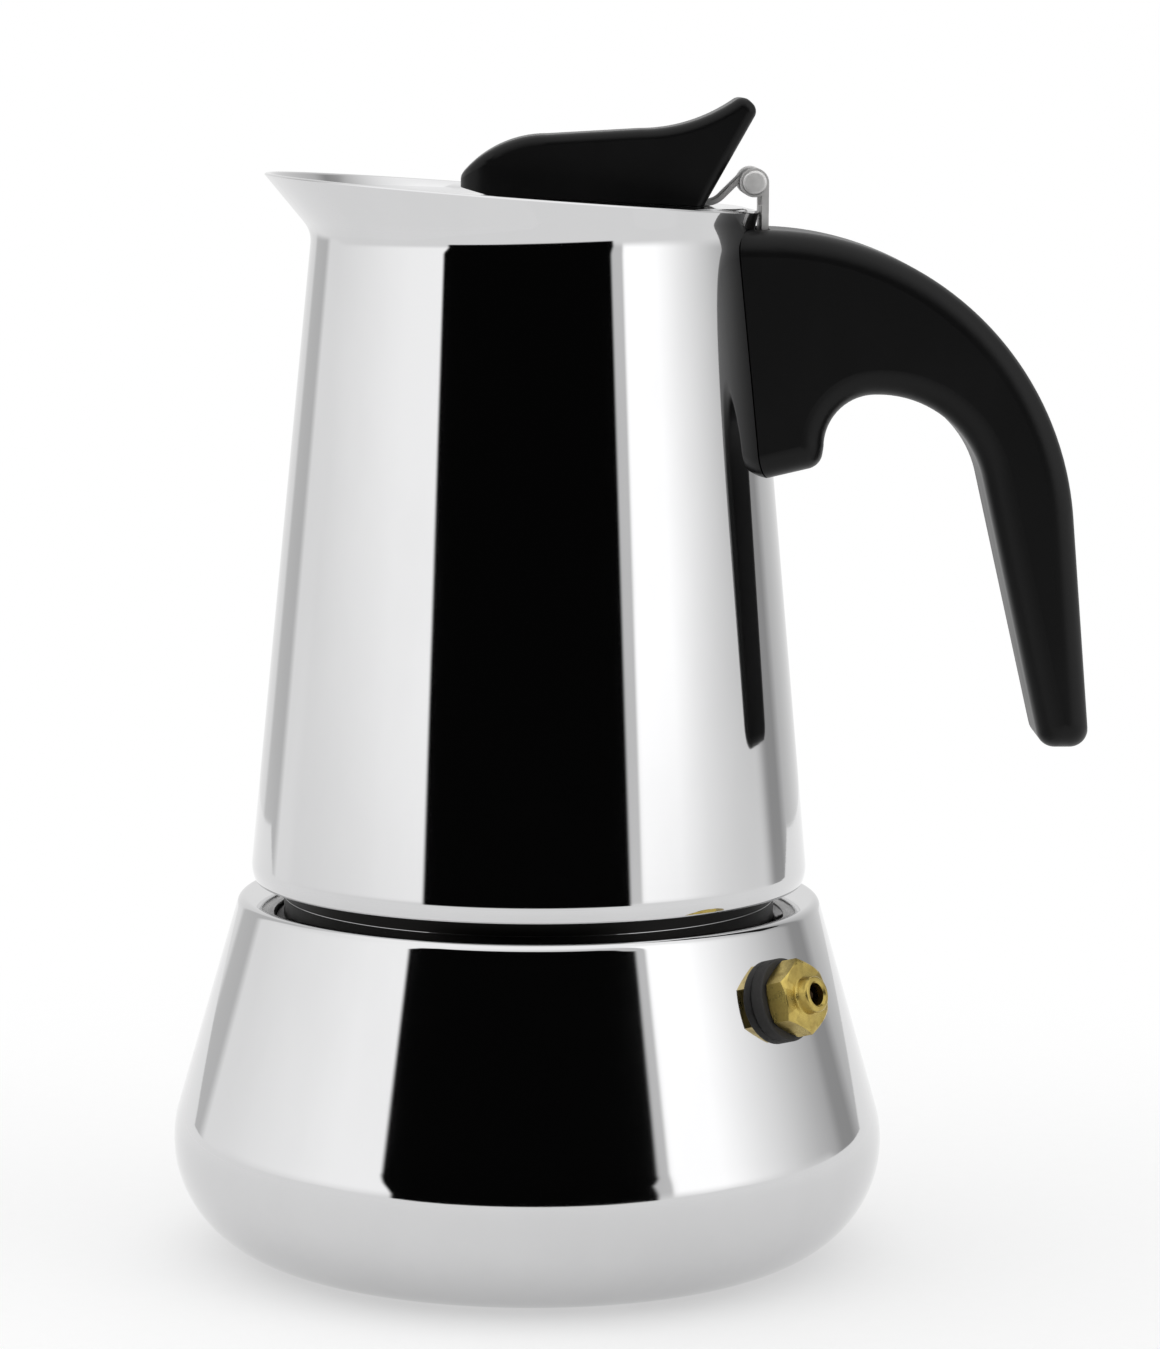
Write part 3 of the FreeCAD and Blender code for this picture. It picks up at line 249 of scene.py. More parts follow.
class Paint:
    """Writes one node tree."""

    def __init__(self, tree):
        self.tree = tree
        tree.nodes.clear()

    def add(self, kind, settings=None, sockets=None):
        """A new node with its settings made first, then its sockets filled or linked. Gives its outputs."""
        made = self.tree.nodes.new(kind)
        for name, value in (settings or {}).items():
            if name == "stops":
                self._stops(made.color_ramp, value)
            else:
                setattr(made, name, value)
        for name, value in (sockets or {}).items():
            socket = self._input(made, name)
            if isinstance(value, Wire):
                self.tree.links.new(value.socket, socket)
            else:
                socket.default_value = value
        return {socket.name: Wire(self, socket) for socket in made.outputs if socket.enabled}

    @staticmethod
    def _input(made, name):
        if isinstance(name, int):
            return made.inputs[name]
        return next(socket for socket in made.inputs if socket.name == name and socket.enabled)

    @staticmethod
    def _stops(ramp, stops):
        while len(ramp.elements) < len(stops):
            ramp.elements.new(0.5)
        for element, (position, value) in zip(ramp.elements, stops):
            element.position = position
            element.color = (*value, 1.0) if isinstance(value, tuple) else (value, value, value, 1.0)

    def span(self, value, low, high, to_low=0.0, to_high=1.0):
        """A value carried smoothly from one span to another."""
        return self.add("ShaderNodeMapRange", {"interpolation_type": "SMOOTHSTEP"},
                        {"Value": value, "From Min": low, "From Max": high,
                         "To Min": to_low, "To Max": to_high})["Result"]

    def blend(self, factor, first, second):
        """A colour between two colours."""
        ends = {"Factor": factor}
        for name, value in (("A", first), ("B", second)):
            ends[name] = value if isinstance(value, Wire) else (*value, 1.0)
        return self.add("ShaderNodeMix", {"data_type": "RGBA"}, ends)["Result"]

    def vector(self, operation, *values, result="Vector"):
        return self.add("ShaderNodeVectorMath", {"operation": operation}, dict(enumerate(values)))[result]

    def degrees(self, operation, *values):
        """An angle in degrees."""
        angle = self.add("ShaderNodeMath", {"operation": operation}, dict(enumerate(values)))["Value"]
        return angle * math.degrees(1.0)

    def parts(self, where):
        """The X, Y and Z of a vector."""
        return self.add("ShaderNodeSeparateXYZ", None, {"Vector": where})

    def place(self, stretch=(1.0, 1.0, 1.0)):
        """The piece's own coordinates, stretched."""
        return self.vector("MULTIPLY", self.add("ShaderNodeTexCoord")["Object"], stretch)

    def turned_grooves(self, where, fine, drift=0.0):
        """Coordinates that change only with the distance from the Z axis and along it."""
        reach = self.vector("LENGTH", self.vector("MULTIPLY", where, (1.0, 1.0, 0.0)), result="Value")
        axes = {"X": reach * fine, "Y": self.parts(where)["Z"] * fine, "Z": drift}
        return self.add("ShaderNodeCombineXYZ", None, axes)["Vector"]

    def noise(self, where, scale, detail=3.0, roughness=0.5):
        return self.add("ShaderNodeTexNoise", None, {"Vector": where, "Scale": scale, "Detail": detail,
                                                     "Roughness": roughness})["Fac"]

    def bump(self, height, strength, distance):
        return self.add("ShaderNodeBump", None, {"Height": height, "Strength": strength,
                                                 "Distance": distance})["Normal"]

    def surface(self, **sockets):
        """The finished surface, its sockets named with underscores for spaces."""
        named = {name.replace("_", " "): value for name, value in sockets.items()}
        shader = self.add("ShaderNodeBsdfPrincipled", None, named)["BSDF"]
        self.add("ShaderNodeOutputMaterial", None, {"Surface": shader})


def new_paint(name):
    material = bpy.data.materials.new(name)
    material.use_nodes = True
    return material, Paint(material.node_tree)


def shade(tint, share):
    """A colour made darker, or paler with a share over one."""
    return tuple(min(1.0, value * share) for value in tint)


def rings_about_axis(paint, fine):
    """Fine polishing lines that run round the pot's axis."""
    where = paint.place()
    drift = paint.noise(where, 30.0, 2.0)
    return paint.noise(paint.turned_grooves(where, fine, drift * 1.5), 1.0, 4.0, 0.6)


def mirror(paint, colours):
    """Colour, roughness and normal of mirror-polished steel, with faint smears and polishing lines."""
    smear = paint.noise(paint.place((1.0, 1.0, 0.45)), 55.0, 4.0, 0.55)
    lines = rings_about_axis(paint, 2600.0)
    cloud = paint.span(smear, 0.35, 0.75)
    tint = paint.blend(cloud, tuple(colours.steel), shade(colours.steel, 0.965))
    return tint, 0.03 + cloud * 0.018 + lines * 0.014, paint.bump(lines, 0.02, 0.00004)


def polished_steel(colours):
    material, paint = new_paint("polished_steel")
    tint, roughness, normal = mirror(paint, colours)
    paint.surface(Base_Color=tint, Metallic=1.0, Roughness=roughness, Normal=normal)
    return material


# Heights over which the painted shade ring at the root of the boiler's neck starts and ends, in metres; it
# darkens the seam under the collector's foot.
SEAM_SHADE_LOW = (0.05321, 0.05325)
SEAM_SHADE_HIGH = (0.0575, 0.0565)


def boiler_steel(colours):
    """Polished steel with a rougher, near-black ring at the root of the neck: painted shade that darkens the
    seam under the collector's foot.
    """
    material, paint = new_paint("boiler_steel")
    tint, roughness, normal = mirror(paint, colours)
    height = paint.parts(paint.place())["Z"]
    # The ring turns the neck near-black and rougher: painted shade for the seam between boiler and collector.
    ring = paint.span(height, *SEAM_SHADE_LOW) * paint.span(height, *SEAM_SHADE_HIGH)
    paint.surface(
        Base_Color=paint.blend(ring, tint, tuple(colours.seam_shade)),
        Metallic=1.0,
        Roughness=roughness + ring * 0.4,
        Normal=normal)
    return material


def plain_steel(colours):
    material, paint = new_paint("plain_steel")
    lines = rings_about_axis(paint, 5200.0)
    patch = paint.span(paint.noise(paint.place(), 90.0, 5.0, 0.6), 0.3, 0.8)
    paint.surface(
        Base_Color=paint.blend(patch * 0.7 + lines * 0.3, tuple(colours.satin), shade(colours.satin, 0.82)),
        Metallic=1.0,
        Roughness=0.2 + lines * 0.16 + patch * 0.06,
        Normal=paint.bump(lines, 0.12, 0.00006))
    return material


def bent_steel(colours):
    """Tumbled steel of the hinge, the screws and the handle's bracket."""
    material, paint = new_paint("bent_steel")
    scuff = paint.noise(paint.place((1.0, 0.25, 1.0)), 900.0, 5.0, 0.65)
    patch = paint.span(paint.noise(paint.place(), 240.0, 3.0), 0.3, 0.75)
    paint.surface(
        Base_Color=paint.blend(patch, shade(colours.satin, 1.4), tuple(colours.satin)),
        Metallic=1.0,
        Roughness=0.5 + scuff * 0.12,
        Normal=paint.bump(scuff, 0.03, 0.00003))
    return material


def brass(colours):
    """Turned brass: fine lathe marks round the valve's own axis, darker in the marks."""
    material, paint = new_paint("brass")
    where = paint.place()
    marks = paint.noise(paint.turned_grooves(where, 6000.0), 1.0, 3.0, 0.6)
    patch = paint.span(paint.noise(where, 520.0, 5.0, 0.65), 0.35, 0.75)
    paint.surface(
        Base_Color=paint.blend(patch * 0.6 + marks * 0.25, tuple(colours.brass), tuple(colours.tarnish)),
        Metallic=1.0,
        Roughness=0.2 + marks * 0.12 + patch * 0.16,
        Normal=paint.bump(marks * 0.7 + patch * 0.3, 0.25, 0.00006))
    return material


def oxidised_metal(colours):
    """Darkened metal inside the valve."""
    material, paint = new_paint("oxidised_metal")
    crust = paint.noise(paint.place(), 1300.0, 4.0, 0.65)
    paint.surface(
        Base_Color=paint.blend(paint.span(crust, 0.45, 0.8), tuple(colours.oxide), shade(colours.oxide, 2.5)),
        Metallic=1.0,
        Roughness=0.42 + crust * 0.25,
        Normal=paint.bump(crust, 0.15, 0.00004))
    return material


def black_plastic(colours):
    """Moulded phenolic: deep black, satin, with the mould's fine grain and faint flow marks."""
    material, paint = new_paint("black_plastic")
    grain = paint.noise(paint.place(), 2400.0, 3.0, 0.6)
    flow = paint.noise(paint.place((1.0, 2.0, 0.6)), 70.0, 4.0, 0.55)
    worn = paint.span(flow, 0.4, 0.8)
    paint.surface(
        Base_Color=paint.blend(worn, tuple(colours.plastic), shade(colours.plastic, 1.9)),
        Roughness=0.34 + worn * 0.06 + grain * 0.04,
        Specular_IOR_Level=0.2,
        Normal=paint.bump(grain * 0.6 + flow * 0.4, 0.03, 0.00006))
    return material


def dark_rubber(colours):
    material, paint = new_paint("dark_rubber")
    grain = paint.noise(paint.place(), 1500.0, 4.0, 0.7)
    dust = paint.span(grain, 0.5, 0.9)
    paint.surface(
        Base_Color=paint.blend(dust, tuple(colours.rubber), shade(colours.rubber, 2.2)),
        Roughness=0.55 + grain * 0.3,
        Normal=paint.bump(grain, 0.3, 0.00008))
    return material


def pale_silicone(colours):
    material, paint = new_paint("pale_silicone")
    grain = paint.noise(paint.place(), 800.0, 4.0, 0.6)
    stain = paint.span(paint.noise(paint.place(), 120.0, 4.0), 0.4, 0.8)
    browner = tuple(value * share for value, share in zip(colours.silicone, (0.86, 0.8, 0.7)))
    paint.surface(
        Base_Color=paint.blend(stain, tuple(colours.silicone), browner),
        Roughness=0.45 + grain * 0.2,
        Normal=paint.bump(grain, 0.2, 0.00006))
    return material


FINISHES = {
    maker.__name__: maker for maker in (
        polished_steel, boiler_steel, plain_steel, bent_steel, brass, oxidised_metal, black_plastic,
        dark_rubber, pale_silicone)
}


def finish(context, name):
    """The finish of this name, made when it is first asked for."""
    found = bpy.data.materials.get(f"moka_{name}")
    if found is None:
        found = FINISHES[name](context.scene.moka_colours)
        found.name = f"moka_{name}"
    return found


# Mesh writing

# A radius under this is a point on the axis.
ON_AXIS = 1e-7
# Faces around small turned pieces.
SMALL_AROUND = 96
VALVE_AROUND = 120
PIN_AROUND = 48


def bend(center, radius, start, end, steps):
    """Points on an arc in radius and height, from one angle in degrees to another."""
    points = []
    for step in range(steps + 1):
        turn = math.radians(start + (end - start) * step / steps)
        points.append((center[0] + radius * math.cos(turn), center[1] + radius * math.sin(turn)))
    return points


def wall_run(start, end, steps=8, margin=0.0003):
    """Points inside a straight run, close to both ends so that the wall reflects straight."""
    start, end = Vector(start), Vector(end)
    span = (end - start).length
    shares = [margin / span] + [step / steps for step in range(1, steps)] + [1 - margin / span]
    return [tuple(start.lerp(end, share)) for share in shares]


class Skin:
    """Points and faces of one piece, gathered band by band."""

    def __init__(self):
        self.points = []
        self.faces = []

    def band(self, rings, loop=False):
        """Faces between closed rings of points. A ring of one point is a pole."""
        starts = []
        for ring in rings:
            starts.append(len(self.points))
            self.points.extend(ring)
        pairs = [(low, low + 1) for low in range(len(rings) - 1)]
        if loop:
            pairs.append((len(rings) - 1, 0))
        for low, high in pairs:
            count = max(len(rings[low]), len(rings[high]))
            for side in range(count):
                after = (side + 1) % count
                lower, upper = starts[low], starts[high]
                corners = [lower + side, lower + after, upper + after, upper + side]
                if len(rings[low]) == 1:
                    corners[0:2] = [lower]
                if len(rings[high]) == 1:
                    corners[-2:] = [upper]
                self.faces.append(corners)

    def turned(self, outline, around, loop=False):
        """A full turn of an outline of radius and height about Z."""
        rings = []
        for reach, height in outline:
            if reach < ON_AXIS:
                rings.append([(0.0, 0.0, height)])
                continue
            turns = [2 * math.pi * step / around for step in range(around)]
            rings.append([(reach * math.cos(turn), reach * math.sin(turn), height) for turn in turns])
        self.band(rings, loop)

    def sheet(self, outline, half):
        """A closed outline in X and Z, drawn out across Y, with flat ends."""
        count = len(self.points)
        for y in (-half, half):
            self.points.extend((x, y, z) for x, z in outline)
        total = len(outline)
        self.faces.append(list(range(count, count + total)))
        self.faces.append(list(range(count + 2 * total - 1, count + total - 1, -1)))
        for side in range(total):
            after = (side + 1) % total
            self.faces.append([count + side, count + after, count + total + after, count + total + side])

    def move(self, matrix, first=0):
        """Move the points gathered since the first."""
        self.points[first:] = [tuple(matrix @ Vector(point)) for point in self.points[first:]]

    def mesh(self, name, sharp=32.0):
        mesh = bpy.data.meshes.new(name)
        mesh.from_pydata(self.points, [], self.faces)
        form = bmesh.new()
        form.from_mesh(mesh)
        bmesh.ops.recalc_face_normals(form, faces=form.faces)
        form.to_mesh(mesh)
        form.free()
        mesh.polygons.foreach_set("use_smooth", [True] * len(mesh.polygons))
        mesh.set_sharp_from_angle(angle=math.radians(sharp))
        mesh.update()
        return mesh


def add_piece(context, name, mesh, body, finish_name, replaced, matrix=None):
    """A new piece that rides on a body and stands for CAD nodes."""
    thing = bpy.data.objects.new(name, mesh)
    context.scene.collection.objects.link(thing)
    if matrix is not None:
        thing.matrix_world = matrix
    mesh.materials.append(finish(context, finish_name))
    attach(thing, body)
    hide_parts(*replaced)
    return thing


def soften(thing, width, steps=3, sharp=40.0):
    """Round the sharp edges of a piece."""
    modifier = thing.modifiers.new("soft_edges", "BEVEL")
    modifier.width = width
    modifier.segments = steps
    modifier.limit_method = "ANGLE"
    modifier.angle_limit = math.radians(sharp)
    modifier.harden_normals = True


def coat_node(context, name, finish_name):
    """Give a CAD node its finish."""
    materials = frame["nodes"][name].data.materials
    materials.clear()
    materials.append(finish(context, finish_name))


def valve_place(context):
    """Where the valve's axis leaves the wall, with Z outward."""
    sizes, boiler = context.scene.moka_valve, context.scene.moka_boiler
    reach = boiler_cone(boiler, sizes.height)
    turn = Matrix.Rotation(-sizes.bearing, 4, "Z")
    tip = Matrix.Rotation(math.radians(90) - boiler.lean, 4, "Y")
    return turn @ Matrix.Translation((reach, 0.0, sizes.height)) @ tip


def boiler_cone(boiler, height):
    """Outer radius of the boiler's cone wall at a height."""
    foot = boiler.reach - boiler.foot_round
    foot += boiler.foot_round * math.tan(boiler.lean) + boiler.foot_round / math.cos(boiler.lean)
    return foot - height * math.tan(boiler.lean)


def capped(rings):
    """The rings, with a point in the middle of each end."""
    ends = [[tuple(sum(map(Vector, ring), Vector()) / len(ring))] for ring in (rings[0], rings[-1])]
    return [ends[0]] + rings + [ends[1]]


def thread_ridge(skin, sizes, around):
    """The boiler's thread, a ridge that fades out at both ends."""
    fade_share = 1 / 24
    root, tip = sizes.neck - sizes.thread_sink, sizes.neck + sizes.thread_depth
    turns = sizes.thread_rise / sizes.thread_pitch
    steps = int(turns * around)
    rings = []
    for step in range(steps + 1):
        share = step / steps
        fade = min(1.0, share / fade_share, (1 - share) / fade_share)
        turn = 2 * math.pi * turns * share
        height = sizes.thread_low + sizes.thread_rise * share
        top = root + (tip - root) * fade
        section = [(root, -sizes.thread_foot), (top, -sizes.thread_tip)]
        section += [(top, sizes.thread_tip), (root, sizes.thread_foot)]
        rings.append([(reach * math.cos(turn), reach * math.sin(turn), height + up) for reach, up in section])
    skin.band(capped(rings))


class MOKA_OT_boiler(bpy.types.Operator):
    """Turn the boiler with its rounded foot, shoulder, threaded neck and valve boss"""
    bl_idname = "moka.boiler"
    bl_label = "Boiler"

    def execute(self, context):
        sizes = context.scene.moka_boiler
        around = context.scene.moka_stage.around
        lean = math.degrees(sizes.lean)
        foot = (sizes.reach - sizes.foot_round, sizes.foot_round)
        inner_round = sizes.foot_round - sizes.wall
        slant_wall = sizes.wall / math.cos(sizes.lean)
        edge_height = sizes.shoulder - sizes.shoulder_round
        edge = (boiler_cone(sizes, edge_height) - sizes.shoulder_round / math.cos(sizes.lean), edge_height)
        lip = sizes.lip
        recess_round = foot[0] - sizes.recess_margin

        outer_foot = bend(foot, sizes.foot_round, -90, lean, 44)
        outer_edge = bend(edge, sizes.shoulder_round, lean, 90, 10)
        neck_foot = (sizes.neck, sizes.shoulder)
        neck_lip = bend((sizes.neck - lip, sizes.top - lip), lip, 0, 90, 4)
        neck_lip += bend((sizes.bore + lip, sizes.top - lip), lip, 90, 180, 4)
        ceiling = sizes.shoulder - sizes.wall
        inner_top = (boiler_cone(sizes, ceiling) - slant_wall, ceiling)
        inner_foot = bend(foot, inner_round, lean, -90, 24)
        inner_foot[-1] = (inner_foot[-1][0], sizes.floor)
        outline = [(0.0, sizes.recess), (recess_round - sizes.recess_slope, sizes.recess)]
        outline += [(recess_round, 0.0)]
        outline += wall_run((recess_round, 0.0), outer_foot[0], 3) + outer_foot
        outline += wall_run(outer_foot[-1], outer_edge[0]) + outer_edge
        outline += wall_run(outer_edge[-1], neck_foot, 4) + [neck_foot]
        outline += wall_run(neck_foot, neck_lip[0], 4) + neck_lip
        outline += wall_run(neck_lip[-1], (sizes.bore, ceiling), 4) + [(sizes.bore, ceiling), inner_top]
        outline += wall_run(inner_top, inner_foot[0]) + inner_foot
        outline += [(0.0, sizes.floor)]
        skin = Skin()
        skin.turned(outline, around)
        thread_ridge(skin, sizes, around)

        valve = context.scene.moka_valve
        first = len(skin.points)
        face = valve.boss_face
        root = face - valve.boss_sink
        boss = [(valve.washer_bore, root), (valve.washer_bore, face), (valve.boss - face, face)]
        boss += bend((valve.boss - face, 0.0), face, 90, 0, 3) + [(valve.boss, root)]
        skin.turned(boss, SMALL_AROUND, loop=True)
        skin.move(valve_place(context), first)
        add_piece(context, "boiler_vessel", skin.mesh("boiler_vessel"), "boiler", "boiler_steel",
                  ["boiler"])
        return {"FINISHED"}


def hexagon_reach(flats, turn):
    """Distance from the middle of a hexagon to its side in a direction."""
    sixth = math.pi / 3
    return flats / 2 / math.cos(turn % sixth - sixth / 2)


def coil_tube(skin, sizes):
    """The valve's spring. Gives its length over the wire."""
    turn_steps, wire_steps = 36, 10
    steps = sizes.coil_turns * turn_steps
    up = Vector((0.0, 0.0, 1.0))
    wire_turns = [2 * math.pi * side / wire_steps for side in range(wire_steps)]
    rings = []
    for step in range(steps + 1):
        turn = 2 * math.pi * step / turn_steps
        way = Vector((math.cos(turn), math.sin(turn), 0.0))
        height = -sizes.coil_inner + (sizes.coil_inner + sizes.coil_outer) * step / steps
        middle = way * sizes.coil + up * height
        rings.append([tuple(middle + (way * math.cos(side) + up * math.sin(side)) * sizes.coil_wire)
                      for side in wire_turns])
    skin.band(capped(rings))
    return sizes.coil_inner + sizes.coil_outer + 2 * sizes.coil_wire


class MOKA_OT_valve(bpy.types.Operator):
    """Make the brass safety valve with its washer and spring, and finish the pieces inside it"""
    bl_idname = "moka.valve"
    bl_label = "Safety valve"

    def execute(self, context):
        sizes = context.scene.moka_valve
        place = valve_place(context)
        low = sizes.boss_face + sizes.washer_thick
        high = low + sizes.hexagon
        round_reach = sizes.flats / 2 * 1.01
        face_reach = round_reach * 0.97
        chamfer_slope = 0.6
        turns = [2 * math.pi * step / VALVE_AROUND for step in range(VALVE_AROUND)]

        def ring(reach, height):
            return [(reach * math.cos(turn), reach * math.sin(turn), height) for turn in turns]

        def flats_ring(face, slope):
            points = []
            for turn in turns:
                reach = hexagon_reach(sizes.flats, turn)
                height = face + slope * max(0.0, reach - round_reach)
                points.append((reach * math.cos(turn), reach * math.sin(turn), height))
            return points

        rings = [ring(sizes.shank, -sizes.shank_end), ring(sizes.shank, low), ring(face_reach, low)]
        rings += [flats_ring(low + sizes.chamfer, chamfer_slope)]
        rings += [flats_ring(high - sizes.chamfer, -chamfer_slope), ring(face_reach, high)]
        lip = sizes.outlet_lip
        hollow = lip * 0.3
        bevel = lip * 0.7
        collar = [(sizes.outlet + lip, high), (sizes.outlet + hollow, high + hollow)]
        collar += [(sizes.outlet, high + lip)]
        collar += bend((sizes.outlet - lip, sizes.outlet_face - lip), lip, 0, 90, 4)
        collar += [(sizes.outlet_bore + bevel, sizes.outlet_face)]
        collar += [(sizes.outlet_bore, sizes.outlet_face - bevel), (sizes.outlet_bore, sizes.chamber_end)]
        collar += [(sizes.chamber, sizes.chamber_end), (sizes.chamber, -sizes.shank_end)]
        rings += [ring(reach, height) for reach, height in collar]
        skin = Skin()
        skin.band(rings, loop=True)
        add_piece(context, "valve_hexagon", skin.mesh("valve_hexagon"), "boiler", "brass",
                  ["valve_body"], place)

        edge = sizes.washer_edge
        foot = sizes.boss_face - sizes.washer_sink
        outline = [(sizes.washer_bore, foot), (sizes.washer - edge, foot)]
        outline += bend((sizes.washer - edge, foot + edge), edge, -90, 0, 4)
        outline += bend((sizes.washer - edge, low - edge), edge, 0, 90, 4)
        outline += [(sizes.washer_bore, low)]
        skin = Skin()
        skin.turned(outline, SMALL_AROUND, loop=True)
        add_piece(context, "valve_washer_ring", skin.mesh("valve_washer_ring"), "boiler", "dark_rubber",
                  ["valve_washer"], place)
        coat_node(context, "valve_nut", "brass")
        for name in ("valve_seat", "valve_plunger"):
            coat_node(context, name, "oxidised_metal")

        skin = Skin()
        coil_length = coil_tube(skin, sizes)
        coil = add_piece(context, "valve_coil", skin.mesh("valve_coil"), "boiler", "oxidised_metal",
                         ["valve_spring"], place)
        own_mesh(coil)
        return {"FINISHED"}


def soft_corner(start, corner, end, steps):
    """Points on a curve that rounds a corner, after its start and up to its end."""
    points = []
    for step in range(1, steps + 1):
        share = step / steps
        points.append(start * (1 - share) ** 2 + corner * 2 * share * (1 - share) + end * share ** 2)
    return points


# Steps up the collector's wall, and the largest share of the lip that the bend at the crease takes.
FOOT_STEPS = 12
WALL_STEPS = 12
CREASE_STEPS = 8
LIP_STEPS = 5
LIP_BEND_SHARE = 0.6
# Shares across the lip's edge from outside to inside, and the heights of its round there.
LIP_EDGE = ((0.2, 0.75), (0.5, 1.0), (0.8, 0.75))


def collector_line(sizes, turn, inset):
    """Points up the collector's wall at one turn about the axis: foot, cone, crease and lip."""
    way = Vector((math.cos(turn), math.sin(turn), 0.0))
    up = Vector((0.0, 0.0, 1.0))
    slope = (sizes.foot - sizes.crease) / (sizes.crease_height - sizes.low)
    lean = math.atan(slope)
    foot = []
    curl = sizes.curl
    start_height = sizes.low + curl * (math.sin(lean) + math.sin(sizes.curl_turn))
    start_reach = sizes.foot - slope * (start_height - sizes.low)
    for step in range(FOOT_STEPS + 1):
        tip = -sizes.curl_turn + (lean + sizes.curl_turn) * step / FOOT_STEPS
        reach = start_reach - curl * (math.cos(lean) - math.cos(tip))
        foot.append((reach - inset, start_height - curl * (math.sin(lean) - math.sin(tip))))
    crease = (sizes.crease - inset, sizes.crease_height)
    wall_end = (crease[0] + slope * sizes.crease_round, crease[1] - sizes.crease_round)
    wall = wall_run(foot[-1], wall_end, WALL_STEPS) + [wall_end]
    points = [way * reach + up * height for reach, height in foot + wall]

    middle = (sizes.back - sizes.spout) / 2
    half = (sizes.back + sizes.spout) / 2 - inset
    x = middle + half * math.cos(turn)
    rim = Vector((x, (sizes.half_width - inset) * math.sin(turn),
                  sizes.rim_height - x * math.tan(sizes.rim_tilt)))
    wall_top = way * wall_end[0] + up * wall_end[1]
    corner = way * crease[0] + up * crease[1]
    lip_start = corner.lerp(rim, min(LIP_BEND_SHARE, sizes.crease_round / (rim - corner).length))
    points += soft_corner(wall_top, corner, lip_start, CREASE_STEPS)
    points += [lip_start.lerp(rim, step / LIP_STEPS) for step in range(1, LIP_STEPS + 1)]
    return points


class MOKA_OT_collector(bpy.types.Operator):
    """Shape the collector's tapering wall with its curled foot and oblique pouring lip"""
    bl_idname = "moka.collector"
    bl_label = "Collector"

    def execute(self, context):
        sizes = context.scene.moka_collector
        around = context.scene.moka_stage.around
        edge_round = Vector((0.0, 0.0, sizes.wall * 0.3))
        lines = []
        for step in range(around):
            turn = 2 * math.pi * step / around
            outer = collector_line(sizes, turn, 0.0)
            inner = collector_line(sizes, turn, sizes.wall)
            lip = [outer[-1].lerp(inner[-1], share) + edge_round * height for share, height in LIP_EDGE]
            foot = [outer[0].lerp(inner[0], 0.5) - edge_round * 0.5]
            lines.append(outer + lip + inner[::-1] + foot)
        rings = [[tuple(line[level]) for line in lines] for level in range(len(lines[0]))]
        skin = Skin()
        skin.band(rings, loop=True)
        add_piece(context, "collector_wall", skin.mesh("collector_wall", sharp=50.0), "collector",
                  "polished_steel", ["collector_shell"])
        return {"FINISHED"}


class MOKA_OT_lid(bpy.types.Operator):
    """Turn the lid with its rounded edge and turned-down skirt"""
    bl_idname = "moka.lid"
    bl_label = "Lid"

    def execute(self, context):
        sizes = context.scene.moka_lid
        edge = sizes.edge
        inner = sizes.radius - sizes.sheet
        hem = sizes.sheet / 2
        outline = [(0.0, 0.0)] + wall_run((0.0, 0.0), (sizes.radius - edge, 0.0), 6)
        outline += bend((sizes.radius - edge, -edge), edge, 90, 0, 8)
        outline += wall_run((sizes.radius, -edge), (sizes.radius, -sizes.skirt + hem / 2), 3, margin=0.0001)
        outline += bend((sizes.radius - hem, -sizes.skirt + hem), hem, 0, -180, 8)
        outline += [(inner, -sizes.sheet - edge)]
        outline += bend((inner - edge, -sizes.sheet - edge), edge, 0, 90, 5)
        outline += wall_run((inner - edge, -sizes.sheet), (0.0, -sizes.sheet), 6) + [(0.0, -sizes.sheet)]
        skin = Skin()
        skin.turned(outline, context.scene.moka_stage.around)
        height = sizes.height + sizes.offset * math.tan(sizes.tilt)
        place = Matrix.Translation((-sizes.offset, 0.0, height)) @ Matrix.Rotation(sizes.tilt, 4, "Y")
        add_piece(context, "lid_disc", skin.mesh("lid_disc"), "lid", "polished_steel",
                  ["lid"], place)
        return {"FINISHED"}


def thicken(path, thick):
    """A closed outline round a bent sheet whose middle follows a path in X and Z."""
    sides = ([], [])
    for index, point in enumerate(path):
        before = Vector(path[max(index - 1, 0)])
        after = Vector(path[min(index + 1, len(path) - 1)])
        along = (after - before).normalized()
        across = Vector((-along.y, along.x)) * thick / 2
        sides[0].append(tuple(Vector(point) + across))
        sides[1].append(tuple(Vector(point) - across))
    return sides[0] + sides[1][::-1]


